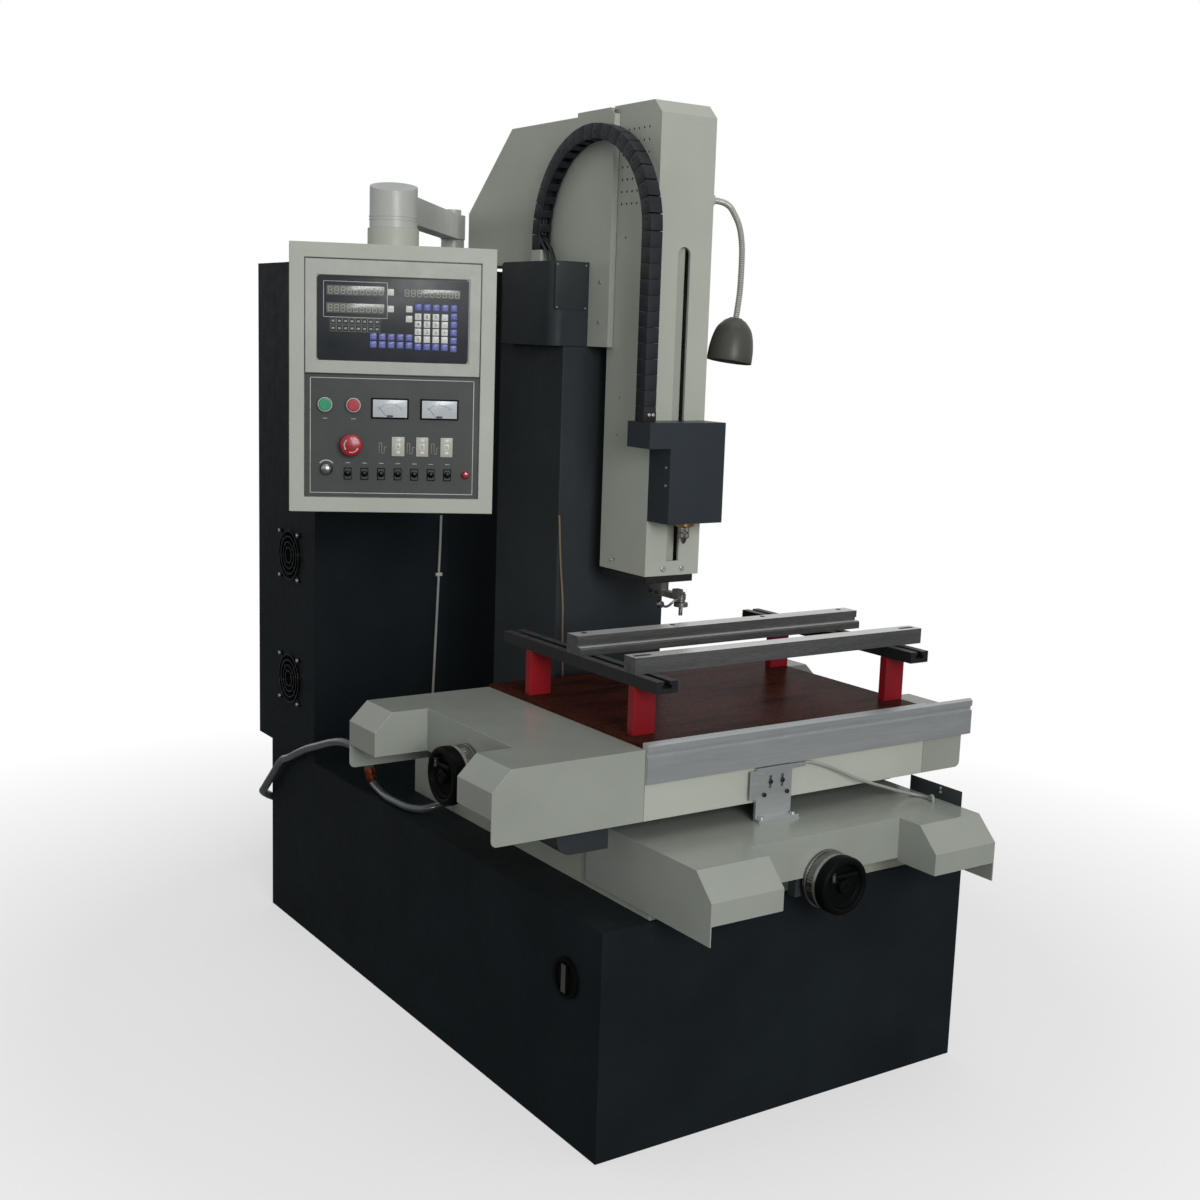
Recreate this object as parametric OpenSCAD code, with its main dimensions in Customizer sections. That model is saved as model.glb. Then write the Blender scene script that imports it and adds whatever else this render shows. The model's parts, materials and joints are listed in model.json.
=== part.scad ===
// Small-hole electrical discharge drilling machine on a cabinet base.
// X runs to the right, Y to the rear and Z up from the floor. Modules measure Y from the
// base's front face and X from the centre plane; from_front() moves them to the base's centre.

/* [Base cabinet] */
// Width of the base cabinet
base_w = 864; // [700:2:1100]
// Depth of the base cabinet
base_d = 1450; // [1380:5:1800]
// Height of the deck above the floor
base_h = 422; // [340:2:520]
// Sheet thickness of the base cabinet
base_t = 4; // [3:0.5:8]
// Radius of the round flush latch
latch_r = 37.5; // [30:0.5:42]

/* [Electrical cabinet] */
// Height of the electrical cabinet above the deck
cab_h = 1138; // [1060:2:1300]
// Depth of the electrical cabinet
cab_d = 333; // [280:1:420]
// How far the cabinet stands on the deck
cab_seat = 252; // [220:1:270]
// Width of the proud panel on the cabinet's front
cab_panel_w = 340; // [280:2:390]
// Cabinet sheet thickness
cab_t = 2.5; // [1.5:0.5:4]
// Side of the square cabinet fans
fan_w = 120; // [92:1:126]
// Screw pitch of the fans
fan_pitch = 105; // [82:0.5:105]
// Height of the lower fan above the deck
fan_low_z = 173; // [120:1:250]
// Distance between the two fans
fan_gap = 294; // [200:2:400]

/* [Bed and column] */
// Width of the bed
bed_w = 658; // [560:2:700]
// Height of the bed
bed_h = 123; // [115:1:180]
// Width of the column
column_w = 274; // [220:2:310]
// Depth of the column
column_d = 253; // [220:1:300]
// Height of the column
column_h = 849; // [780:2:1000]
// Width of the column head casting
head_w = 330; // [320:2:400]
// Height of the column head casting
head_h = 169; // [140:1:200]
// Distance of the column's front from the base's front
column_y = 640; // [632:1:680]

/* [Hood] */
// Width of the hood on the column
hood_w = 160; // [154:1:180]
// Height of the rear hood above the column head
hood_h = 289; // [260:1:340]
// Rear end of the hood from the base's front
hood_rear_y = 1146; // [1080:2:1180]
// Hood sheet thickness
hood_t = 2; // [1.5:0.5:3]

/* [Vertical axes] */
// Width of the vertical casing
casing_w = 132; // [116:1:136]
// Depth of the vertical casing
casing_d = 160.7; // [150:0.1:165]
// Length of the vertical casing
casing_h = 916; // [860:2:1000]
// Wall of the vertical casing
casing_t = 6; // [4:0.5:8]
// Width of the slot in the casing's front
slot_w = 30; // [28:1:40]
// Height of the head cover's lower box
cover_h = 147; // [130:1:180]
// Depth of the head cover
cover_d = 69.7; // [64:0.1:80]
// Radius of the spindle shaft
spindle_r = 10; // [8:0.5:12]

/* [Cross slide] */
// Overall width of the saddle
saddle_w = 888; // [820:2:960]
// Depth of the saddle
saddle_d = 465; // [430:1:490]
// Height of the saddle
saddle_h = 88.5; // [80:0.5:110]
// Overall width of the front slide cover
y_cover_w = 668; // [664:1:700]
// Offset of the table to the left of the machine's centre
table_x = 84.5; // [60:0.5:100]
// Length of the table and granite
table_w = 865; // [800:5:900]
// Depth of the granite
granite_d = 531; // [500:1:540]
// Thickness of the granite
granite_t = 30; // [20:1:40]
// Height of the table casting
table_h = 60; // [50:1:80]
// Reach of the slide covers beyond the table's ends
wing_reach = 108; // [100:1:130]
// Depth of each cover wing
wing_d = 117; // [100:1:125]
// Sheet thickness of the slide covers
cover_t = 2.5; // [1.5:0.5:4]

/* [Handwheels] */
// Radius of a handwheel
wheel_r = 53.5; // [50:0.5:64]
// Radius of a graduated dial
dial_r = 54; // [50:0.5:60]
// Radius of the feed screws
screw_r = 12.5; // [8:0.5:14]

/* [Work fixture] */
// Width of a fixture rail
rail_w = 46; // [40:1:60]
// Height of a fixture rail
rail_h = 22; // [18:1:30]
// Length of a fixture rail
rail_l = 517; // [480:1:525]
// Height of the red pillars
pillar_h = 88; // [60:1:120]
// Length of the ground bars
bar_l = 693; // [680:1:730]

/* [Pendant] */
// Width of the pendant box
pend_w = 400; // [360:2:420]
// Height of the pendant box
pend_h = 520; // [500:2:580]
// Depth of the pendant box
pend_d = 140; // [110:1:150]
// Length of the pendant arm between its pivots
arm_len = 602; // [560:2:700]
// Direction of the pendant arm, from the X axis
arm_angle = 230.4; // [222:0.2:235]
// Turn of the pendant box on its pivot
pend_turn = -24.5; // [-40:0.5:0]
// Radius of the arm's post
post_r = 19; // [14:0.5:22]

/* [Clearances] */
// Gap between sliding flat faces
gap = 0.3; // [0.2:0.05:0.5]
// Radial play of a shaft in its bore
play = 0.08; // [0.05:0.01:0.1]

/* [Hidden] */
$fn = 64;

deck_z = base_h;
roof_z = deck_z + cab_h;
cab_y = base_d - cab_seat;
cab_step = 24;
fan_y = cab_y + 138;
fan_zs = [deck_z + fan_low_z + fan_gap, deck_z + fan_low_z];
fan_hub_r = 20;
fan_depth = 38;

bed_top = deck_z + bed_h;
bed_y0 = 10;
bed_y1 = column_y + column_d;
channel_w = 300;
y_screw_z = bed_top - 76;
nut_y = 200;
nut_len = 50;

head_z = bed_top + column_h;
head_top = head_z + head_h;
head_d = 200;
rail_x = 45;
rail_bw = 20;
rail_bh = 16;

hood_front_y = 566;
hood_split_y = 700;
skirt_y = 640;
hood_top = head_top + hood_h;
front_rise = 8;

casing_y1 = 587.7;
casing_y0 = casing_y1 - casing_d;
casing_z0 = head_z - 446;
casing_z1 = casing_z0 + casing_h;
casing_ch = 25;
base_plate_h = 15;
band_w = 18;
web_w = 4;
band_y = casing_y0 + 10;
band_t = 2;
band_top = casing_z1 - casing_ch + band_y - casing_y0 - casing_t * sqrt(2) - gap;
slot_z0 = casing_z0 + 29;
slot_z1 = casing_z0 + 644;

cover_z0 = casing_z0 + 112;
cover_top_h = 50;
cover_y0 = casing_y0 - gap - cover_d;
ear_x = 116;
spindle_y = casing_y0 - 35;
guide_z0 = casing_z0 - base_plate_h - 61;

chain_x = -114;
chain_w = 28;
chain_t = 30;
chain_y = 596.5;
chain_r = 199;
chain_z = casing_z1 - 250;
ear_top = cover_z0 + cover_h + cover_top_h;
clip_z = head_top + 2;
clip_h = 25;

saddle_y0 = 65;
saddle_front = saddle_y0 + 90;
saddle_foot = 105;
saddle_lip = 42;
saddle_z0 = bed_top + gap;
saddle_z1 = saddle_z0 + saddle_h;
table_z0 = saddle_z1 + gap;
table_z1 = table_z0 + table_h;
granite_z1 = table_z1 + granite_t;
granite_y0 = 55;
table_x0 = -table_x - table_w / 2;
table_x1 = -table_x + table_w / 2;
saddle_x0 = table_x0 + 29;
saddle_x1 = saddle_x0 + saddle_w;
screw_y = 318;
groove_h = 38;
groove_w = 64;
cover_front = 45;
cover_rear = granite_y0 + granite_d + gap;
cover_roof = granite_z1 - 6;
skirt_z = table_z0 - 45;
seam_x = table_x0 + 193;
profile_z0 = table_z1 - 37;
profile_x1 = table_x1 + 122;
reach_left = wing_reach + 3;
reach_right = wing_reach - 3;

yc_front = -166;
yc_recess = -70;
yc_roof = bed_top + 10;
yc_chamfer = 44;
yc_wing = 155;
wheel_back = 28;
wheel_w = 28;
y_wheel = [0, yc_recess - gap, y_screw_z];
x_wheel = [table_x0 - cover_t - gap, screw_y, saddle_z1];
handle_x = 26;
handle_z = 20;
handle_y = 5.5 - wheel_back - wheel_w;

rail_y0 = 48;
rail_x0s = [table_x0 + 212, table_x1 - 47];
rail_z0 = granite_z1 + pillar_h;
rail_z1 = rail_z0 + rail_h;
pillar_ys = [112, 460];
bar_x0 = rail_x0s[0];
bar_a_y = 297;
bar_b_y = 112;

post_x = -60;
post_y = cab_y + 60;
arm_z = roof_z + 69;
arm_h = 55;
hub_r = 47;
hub_z = roof_z + 52;
hub_top = roof_z + 146;
hub_slope = 15;
pend_top = roof_z + 17;
hub_x = post_x + arm_len * cos(arm_angle);
hub_y = post_y + arm_len * sin(arm_angle);
pend_face = -70;
pend_mid = pend_top - pend_h / 2;
window_w = 342;
window_h = 462;
ledge = 11;
front_t = 12;
seat_in = 9;
panel_t = 3;
split_z = 10;
panel_y = pend_face + seat_in - panel_t;
button_z = -49.5;
start_x = -131;
stop_x = -76;
estop_x = -80;
estop_z = -127;
knob_x = -128;
knob_z = -175;
toggle_z = -184;
toggle_x0 = -86.4;
toggle_pitch = 32.6;
toggle_tilt = 12;

lamp_y = 440;
lamp_z = casing_z1 - 178;
lamp_r = 6.5;
flange_t = 6;
lamp_path = [[flange_t, 0], [14, 0], [25, -0.7], [38, -3], [52, -10], [64, -24], [75, -41],
  [82, -62], [86, -86], [87, -111], [87, -140], [86, -170], [83, -198], [79, -225]];
lamp_end = lamp_path[len(lamp_path) - 1];
lamp_lean = lamp_path[len(lamp_path) - 2] - lamp_end;

route_d = 1450;
route_deck = 422;
route_top = 545;
route_mid = 432;
route_bed_x = 103;
hose_r = 9.5;
hose_route = [[40, 1446, 250], [40, 1472, 250], [30, 1492, 255], [8, 1496, 266],
  [-10, 1486, 280], [-16, 1460, 296], [-17, 1410, 340], [-17, 1350, 392], [-17, 1300, 413],
  [-17, 1241, 440], [-17, 1185, 463], [-17, 1127, 483], [-17, 1060, 506], [-14, 1010, 518],
  [-6, 975, 516], [6, 960, 500], [16, 955, 482], [21.5, 952.6, 469], [24, 950, 455]];
hose_short_r = 8.5;
hose_short_route = [[24, 950, 455], [26, 947.92, 443.8], [26, 938, 436], [23, 905, 431],
  [16, 856, 431], [17, 805, 431], [22, 765, 431], [36, 735, 433], [56, 722, 438], [80, 718, 444],
  [103, 718, 444]];
cable_r = 3;
cable_route = [[468, 40, 651], [480, 40, 651], [510, 37, 642], [545, 31, 628],
  [585, 24, 610], [616, 20, 598], [660, 19, 583], [700, 21, 569], [728, 18, 561],
  [740, 6, 558.4], [742, -8, 559], [741, -18, 563], [739, -26, 567], [738, -30, 562],
  [738, -30, 555]];

function unit(v) = v / norm(v);
function inset(p, t) = let (n = len(p)) [for (i = [0:n - 1])
  let (u = unit(p[i] - p[(i + n - 1) % n]), v = unit(p[(i + 1) % n] - p[i]),
       a = [-u.y, u.x], b = [-v.y, v.x])
  p[i] + t / (1 + a * b) * (a + b)];
function corner(c, r, a0, a1, n = 6) = [for (i = [0:n])
  c + r * [cos(a0 + (a1 - a0) * i / n), sin(a0 + (a1 - a0) * i / n)]];
function tangent(p, i) = unit(p[min(i + 1, len(p) - 1)] - p[max(i - 1, 0)]);
function side_of(t) = abs(t.z) > 0.9 ? [1, 0, 0] : [0, 0, 1];
function carried(p, i) = i == 0
  ? let (t = tangent(p, 0)) unit(cross(t, side_of(t)))
  : let (b = carried(p, i - 1), t = tangent(p, i)) unit(b - (b * t) * t);
function ring(c, t, b, r, n) = let (w = cross(t, b))
  [for (k = [0:n - 1]) c + r * (cos(360 * k / n) * b + sin(360 * k / n) * w)];
function share(v, a, b) = min(1, max(0, (v - a) / (b - a)));
function from_left(p) = [p.x - base_w / 2, p.y, p.z + deck_z - route_deck];
function long_at(p) = from_left([p.x,
  p.y + (base_d - route_d) * share(p.y, hose_route[14].y, hose_route[0].y), p.z]);
function short_at(p) = from_left([p.x + ((base_w - bed_w) / 2 - route_bed_x)
  * share(p.x, hose_short_route[1].x, route_bed_x), p.y, p.z]);
function cable_at(p) = [p.x - route_mid, p.y, p.z + bed_top - route_top];

module from_front() { translate([0, -base_d / 2, 0]) children(); }

module block(x0, x1, y0, y1, z0, z1) {
  translate([x0, y0, z0]) cube([x1 - x0, y1 - y0, z1 - z0]);
}

module along_x(x0, x1) {
  translate([x0, 0, 0]) rotate([90, 0, 90]) linear_extrude(x1 - x0) children();
}

module along_y(y0, y1) {
  translate([0, y1, 0]) rotate([90, 0, 0]) linear_extrude(y1 - y0) children();
}

module rod_x(x0, x1, y, z, r) {
  translate([x0, y, z]) rotate([0, 90, 0]) cylinder(h = x1 - x0, r = r);
}

module rod_y(y0, y1, x, z, r) {
  translate([x, y0, z]) rotate([-90, 0, 0]) cylinder(h = y1 - y0, r = r);
}

module rod_z(z0, z1, x, y, r) {
  translate([x, y, z0]) cylinder(h = z1 - z0, r = r);
}

module swept_tube(p, r, n = 8) {
  rings = [for (i = [0:len(p) - 1]) each ring(p[i], tangent(p, i), carried(p, i), r, n)];
  last = (len(p) - 1) * n;
  sides = [for (i = [0:len(p) - 2]) for (k = [0:n - 1])
    let (a = i * n + k, b = i * n + (k + 1) % n) each [[a, b, b + n], [a, b + n, a + n]]];
  ends = [[for (k = [n - 1:-1:0]) k], [for (k = [0:n - 1]) last + k]];
  polyhedron(rings, concat(sides, ends), convexity = 10);
}

// ---- base ----
module base_cabinet() color([0.12, 0.14, 0.15]) difference() {
  w = base_w / 2;
  block(-w, w, 0, base_d, 0, deck_z);
  block(-w + base_t, w - base_t, base_t, base_d - base_t, base_t, deck_z - base_t);
  for (y0 = [80, base_d / 2 + 80])
    block(-w + 80, w - 80, y0, y0 + base_d / 2 - 160, -1, base_t + 1);
  rod_x(-w - 1, -w + base_t + 1, 105, deck_z - 117, 11 + gap);
  rod_y(base_d - base_t - 1, base_d + 1, from_left(hose_route[0]).x,
    from_left(hose_route[0]).z, hose_r + gap);
}

module base_latch() color([0.25, 0.27, 0.28]) {
  x = -base_w / 2;
  z = deck_z - 117;
  difference() {
    rod_x(x - 6.3, x - gap, 105, z, latch_r);
    rod_x(x - 7, x - 3, 105, z, latch_r - 7);
  }
  rod_x(x - 3.5, x + base_t + 10, 105, z, 11);
  block(x - 9, x - 2.5, 98, 112, z - 26, z + 26);
  block(x + base_t + 3, x + base_t + 8, 95, 175, z - 12, z + 12);
}

// ---- bed, column and hood ----
module bed() color([0.66, 0.67, 0.63]) {
  w = bed_w / 2;
  difference() {
    block(-w, w, bed_y0, bed_y1, deck_z, bed_top);
    block(-channel_w / 2, channel_w / 2, bed_y0 + 18, column_y - 60, deck_z + 14, bed_top + 1);
    rod_y(bed_y0 - 1, bed_y0 + 19, 0, y_screw_z, screw_r + 4);
  }
  difference() {
    block(-40, 40, nut_y, nut_y + nut_len, deck_z + 13, y_screw_z + 34);
    rod_y(nut_y - 1, nut_y + nut_len + 1, 0, y_screw_z, screw_r + play);
  }
}

module column() color([0.13, 0.14, 0.15]) difference() {
  w = column_w / 2;
  block(-w, w, column_y, bed_y1, bed_top, head_z);
  block(-w + 18, w - 18, column_y + 18, bed_y1 - 18, bed_top - 1, head_z + 1);
}

module column_head() color([0.13, 0.14, 0.15]) {
  w = head_w / 2;
  r = 25;
  y1 = column_y + head_d;
  difference() {
    union() {
      translate([0, 0, head_z]) linear_extrude(head_h) polygon(concat(
        corner([-w + r, column_y + r], r, 180, 270), corner([w - r, column_y + r], r, 270, 360),
        [[w, y1], [column_w / 2, y1], [column_w / 2, bed_y1], [-column_w / 2, bed_y1],
         [-column_w / 2, y1], [-w, y1]]));
      block(-hood_w / 2 + 8, hood_w / 2 - 8, casing_y1 + gap, column_y + 1, head_z + 6, head_top - 4);
    }
    block(-w + 60, w - 60, column_y + 40, bed_y1 - 40, head_z - 1, head_top + 1);
    for (s = [-1, 1])
      block(s * rail_x - rail_bw / 2 - gap, s * rail_x + rail_bw / 2 + gap, casing_y1 - 1,
        casing_y1 + rail_bh + gap, head_z, head_top);
  }
}

module hood_rear() color([0.70, 0.71, 0.67]) {
  p = [[hood_split_y, head_top], [hood_rear_y, head_top], [hood_rear_y, hood_top - 171],
    [hood_rear_y - 186, hood_top], [hood_split_y, hood_top]];
  difference() {
    along_x(-hood_w / 2, hood_w / 2) polygon(p);
    along_x(-hood_w / 2 + hood_t, hood_w / 2 - hood_t) polygon(inset(p, hood_t));
    block(-hood_w / 2 + hood_t, hood_w / 2 - hood_t, hood_split_y - 1, hood_split_y + hood_t + 1,
      head_top + hood_t, hood_top - hood_t);
  }
  x1 = -hood_w / 2;
  block(chain_x, x1 + 1, chain_y + chain_r - 20, chain_y + chain_r + 16, clip_z, clip_z + clip_h);
}

module hood_front() color([0.72, 0.73, 0.69]) {
  top = hood_top + front_rise;
  w = hood_w / 2;
  slot = casing_w / 2 + 1;
  y1 = hood_split_y - gap;
  difference() {
    union() {
      block(-w, w, column_y, y1, head_top + gap, top);
      along_x(-w, w) polygon([[hood_front_y, head_z + 1], [column_y - gap, head_z + 1],
        [column_y - gap, head_top + gap], [column_y + 1, head_top + gap], [column_y + 1, top],
        [hood_front_y + 14, top], [hood_front_y, top - 14]]);
    }
    block(-w + hood_t, w - hood_t, hood_front_y + hood_t, y1 + 1, head_z, top - hood_t);
    block(-slot, slot, hood_front_y - 1, hood_front_y + hood_t + 1, head_z, top + 1);
    block(-slot, slot, hood_front_y - 1, casing_y1 + rail_bh + 2, top - hood_t - 1, top + 1);
    for (z = [50, 129]) rod_x(-w - 1, w + 1, hood_front_y + 32, head_z + z, 2.5);
  }
}

// ---- electrical cabinet ----
module cabinet_outline(t) {
  w = base_w / 2;
  xs = -w + cab_panel_w;
  polygon(inset([[-w, cab_y], [xs, cab_y], [xs, cab_y + cab_step], [w, cab_y + cab_step],
    [w, cab_y + cab_d], [-w, cab_y + cab_d]], t));
}

module cabinet_body() color([0.12, 0.14, 0.15]) difference() {
  translate([0, 0, deck_z]) linear_extrude(cab_h) cabinet_outline(0);
  translate([0, 0, deck_z + cab_t]) linear_extrude(cab_h - 2 * cab_t) cabinet_outline(cab_t);
  x = -base_w / 2;
  for (z = fan_zs) {
    rod_x(x - 1, x + cab_t + 1, fan_y, z, fan_w / 2 - 4);
    for (sy = [-1, 1]) for (sz = [-1, 1])
      rod_x(x - 1, x + cab_t + 1, fan_y + sy * fan_pitch / 2, z + sz * fan_pitch / 2, 2.3);
  }
}

module fan_frame(z) {
  x0 = -base_w / 2 + cab_t;
  x1 = x0 + fan_depth;
  difference() {
    block(x0, x1, fan_y - fan_w / 2, fan_y + fan_w / 2, z - fan_w / 2, z + fan_w / 2);
    rod_x(x0 - 1, x1 + 1, fan_y, z, fan_w / 2 - 3);
    for (sy = [-1, 1]) for (sz = [-1, 1])
      rod_x(x0 - 1, x1 + 1, fan_y + sy * fan_pitch / 2, z + sz * fan_pitch / 2, 2.15);
  }
  difference() {
    union() {
      rod_x(x1 - 9, x1 - 1, fan_y, z, fan_hub_r);
      for (a = [30, 150, 270]) translate([x1 - 7, fan_y, z]) rotate([a, 0, 0])
        block(0, 5, -3, 3, fan_hub_r - 4, fan_w / 2 - 2);
    }
    rod_x(x1 - 10, x1 + 1, fan_y, z, 3 + play);
  }
}

module fan_guard(z) {
  x = -base_w / 2;
  wire = 1.5;
  c = fan_pitch / 2 * sqrt(2);
  for (r = [18, 31, 44, 57]) translate([x - 6, fan_y, z]) rotate([0, 90, 0]) rotate_extrude()
    translate([r - wire, 0]) square([2 * wire, 2 * wire]);
  for (a = [45, 135, 225, 315]) translate([x - 3, fan_y, z]) rotate([a, 0, 0]) {
    block(-1, 1.5, -wire, wire, 17, c);
    translate([-1, 0, c]) rotate([0, 90, 0]) cylinder(h = 4, r = 6);
    translate([-4, 0, c]) rotate([0, 90, 0]) cylinder(h = 20, r = 2);
    translate([-4, 0, c]) rotate([0, 90, 0]) cylinder(h = 4, r = 4);
  }
}

module fan_units() color([0.75, 0.76, 0.77]) for (z = fan_zs) {
  fan_frame(z);
  fan_guard(z);
}

module fan_rotor(z) color([0.2, 0.21, 0.22]) {
  x = -base_w / 2 + cab_t + 3;
  rod_x(x, x + 25, fan_y, z, fan_hub_r);
  rod_x(x + 24, x + fan_depth - 4, fan_y, z, 3);
  for (i = [0:6]) translate([x + 12, fan_y, z]) rotate([i * 360 / 7, 0, 0]) rotate([0, 0, 38])
    block(-1, 1, -14, 14, fan_hub_r - 2.5, fan_w / 2 - 8);
}

module arm_post() color([0.72, 0.73, 0.70]) {
  rod_z(roof_z, arm_z + arm_h + 13, post_x, post_y, post_r);
  rod_z(roof_z, roof_z + 12, post_x, post_y, post_r + 16);
  rod_z(roof_z + 11, arm_z - gap, post_x, post_y, post_r + 8);
}

// ---- pendant ----
module at_hub() { translate([hub_x, hub_y, 0]) children(); }
module at_pendant() { at_hub() rotate([0, 0, pend_turn]) children(); }

module pendant_arm() color([0.70, 0.71, 0.69]) difference() {
  union() {
    translate([hub_x, hub_y, 0]) rotate([0, 0, arm_angle - 180]) difference() {
      block(hub_r - 8, arm_len - post_r - 4, -20, 20, arm_z, arm_z + arm_h);
      block(hub_r, arm_len - post_r - 12, -17, 17, arm_z + 3, arm_z + arm_h - 3);
    }
    rod_z(arm_z, arm_z + arm_h, post_x, post_y, post_r + 10);
    at_hub() rotate_extrude() polygon([[0, hub_z], [hub_r, hub_z], [hub_r, hub_top - 14],
      [hub_r - 7, hub_top], [0, hub_top]]);
  }
  rod_z(arm_z - 1, arm_z + arm_h + 1, post_x, post_y, post_r + play);
  at_pendant() translate([0, hub_r, hub_top]) rotate([hub_slope, 0, 0])
    block(-hub_r - 5, hub_r + 5, -3 * hub_r, 5, 0, 40);
  at_hub() translate([0, 0, hub_z - 1]) cylinder(h = 41, r = 15 + play);
}

module pendant_box() color([0.70, 0.71, 0.68]) at_pendant() {
  w = pend_w / 2;
  z0 = pend_mid - pend_h / 2;
  difference() {
    block(-w, w, pend_face, pend_face + pend_d, z0, pend_top);
    block(-w + 2, w - 2, pend_face + front_t, pend_face + pend_d - 2, z0 + 2, pend_top - 2);
    block(-window_w / 2, window_w / 2, pend_face - 1, pend_face + seat_in,
      pend_mid - window_h / 2, pend_mid + window_h / 2);
    block(-window_w / 2 + ledge, window_w / 2 - ledge, pend_face, pend_face + front_t + 1,
      pend_mid - window_h / 2 + ledge, pend_mid + window_h / 2 - ledge);
  }
  translate([0, 0, pend_top]) cylinder(h = hub_z - gap - pend_top, r = hub_r + 3.5);
  translate([0, 0, pend_top]) cylinder(h = hub_z + 34 - pend_top, r = 15);
}

module dro_unit() color([0.60, 0.61, 0.57]) at_pendant() {
  w = window_w / 2 - 1;
  z0 = pend_mid + split_z + 0.5;
  z1 = pend_mid + window_h / 2 - 1;
  difference() {
    union() {
      block(-w, w, pend_face + 1, pend_face + seat_in, z0, z1);
      block(-w + 13, w - 13, pend_face + seat_in - 1, pend_face + 80, z0 + 12, z1 - 13);
    }
    block(-148, 148, pend_face, pend_face + 4, pend_mid + 36, pend_mid + 199);
  }
}

module toggle_at(i) {
  translate([toggle_x0 + i * toggle_pitch, panel_y - 3, pend_mid + toggle_z]) children();
}

module control_panel() color([0.24, 0.26, 0.26]) at_pendant() {
  w = window_w / 2 - 1;
  z0 = pend_mid - window_h / 2 + 1;
  difference() {
    union() {
      block(-w, w, panel_y, panel_y + panel_t, z0, pend_mid + split_z - 0.5);
      for (x = [start_x, stop_x]) rod_y(panel_y - 5, panel_y + 1, x, pend_mid + button_z, 16);
      rod_y(panel_y - 4, panel_y + 1, estop_x, pend_mid + estop_z, 17);
      for (i = [0:6]) toggle_at(i) block(-6, 6, 0, 12, -10, 10);
    }
    for (x = [start_x, stop_x]) {
      rod_y(panel_y - 6, panel_y, x, pend_mid + button_z, 12 + gap);
      rod_y(panel_y - 1, panel_y + panel_t + 1, x, pend_mid + button_z, 8 + gap);
    }
    rod_y(panel_y - 5, panel_y + panel_t + 1, estop_x, pend_mid + estop_z, 10 + gap);
    rod_y(panel_y - 1, panel_y + panel_t + 1, knob_x, pend_mid + knob_z, 3 + play);
    for (i = [0:6]) toggle_at(i) {
      translate([0, 3, 0]) sphere(r = 4 + gap);
      rotate([90, 0, 0]) translate([0, 0, -3]) cylinder(h = 5, r = 4 + gap);
    }
  }
}

module push_button(x, tint) color(tint) at_pendant() {
  z = pend_mid + button_z;
  rod_y(panel_y - 9.3, panel_y - 4.3, x, z, 12);
  rod_y(panel_y - 5, panel_y + 22, x, z, 8);
}

module start_button() { push_button(start_x, [0.10, 0.55, 0.38]); }
module stop_button() { push_button(stop_x, [0.70, 0.16, 0.20]); }

module estop_button() color([0.74, 0.14, 0.17]) at_pendant()
  translate([estop_x, panel_y, pend_mid + estop_z]) rotate([90, 0, 0]) rotate_extrude()
    polygon([[0, -26], [10, -26], [10, 11], [20, 11], [21.5, 14], [21.5, 20], [18, 25],
      [10, 27.5], [0, 28]]);

module toggle(i) color([0.5, 0.51, 0.52]) at_pendant() toggle_at(i)
  translate([0, 3, 0]) rotate([90 - toggle_tilt, 0, 0]) {
    sphere(r = 4);
    cylinder(h = 9, r = 1.8);
    translate([0, 0, 8]) cylinder(h = 8, r1 = 1.8, r2 = 2.8);
  }

module power_knob() color([0.62, 0.63, 0.62]) at_pendant()
  translate([knob_x, panel_y - gap, pend_mid + knob_z]) rotate([90, 0, 0]) {
    rotate_extrude() polygon([[0, 0], [13, 0], [12.5, 6], [11, 12], [8, 15], [0, 16]]);
    translate([0, 0, -18]) cylinder(h = 19, r = 3);
  }

// ---- vertical axes ----
module casing() color([0.71, 0.72, 0.68]) {
  w = casing_w / 2;
  t = casing_t;
  p = [[casing_y0, casing_z0], [casing_y1, casing_z0], [casing_y1, casing_z1],
    [casing_y0 + casing_ch, casing_z1], [casing_y0, casing_z1 - casing_ch]];
  difference() {
    along_x(-w, w) polygon(p);
    along_x(-w + t, w - t) polygon(inset(p, t));
    block(-slot_w / 2, slot_w / 2, casing_y0 - 1, casing_y0 + t + 1, slot_z0, slot_z1 - slot_w / 2);
    rod_y(casing_y0 - 1, casing_y0 + t + 1, 0, slot_z1 - slot_w / 2, slot_w / 2);
    for (i = [0:5]) for (k = [0:6])
      rod_x(-w - 1, w + 1, casing_y0 + 39 + i * 17.4, casing_z1 - 49 - k * 23.5, 2.5);
    for (p = [[110, 348], [111, 21], [108, 661]])
      rod_x(-w - 1, -w + t + 1, casing_y0 + p.x, casing_z0 + p.y, 3);
  }
  for (s = [-1, 1])
    block(s * rail_x - rail_bw / 2, s * rail_x + rail_bw / 2, casing_y1 - 1, casing_y1 + rail_bh,
      casing_z0 + 6, casing_z1 - 6);
  rod_x(w - 1, w + flange_t, lamp_y, lamp_z, 12);
}

module slot_band() color([0.66, 0.67, 0.63])
  block(-band_w / 2, band_w / 2, band_y, band_y + band_t, casing_z0 + casing_t, band_top);

module casing_base() color([0.08, 0.08, 0.08])
  block(-casing_w / 2 + 6, casing_w / 2 - 11, casing_y0 + 3, casing_y1 - 3,
    casing_z0 - base_plate_h, casing_z0);

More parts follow.
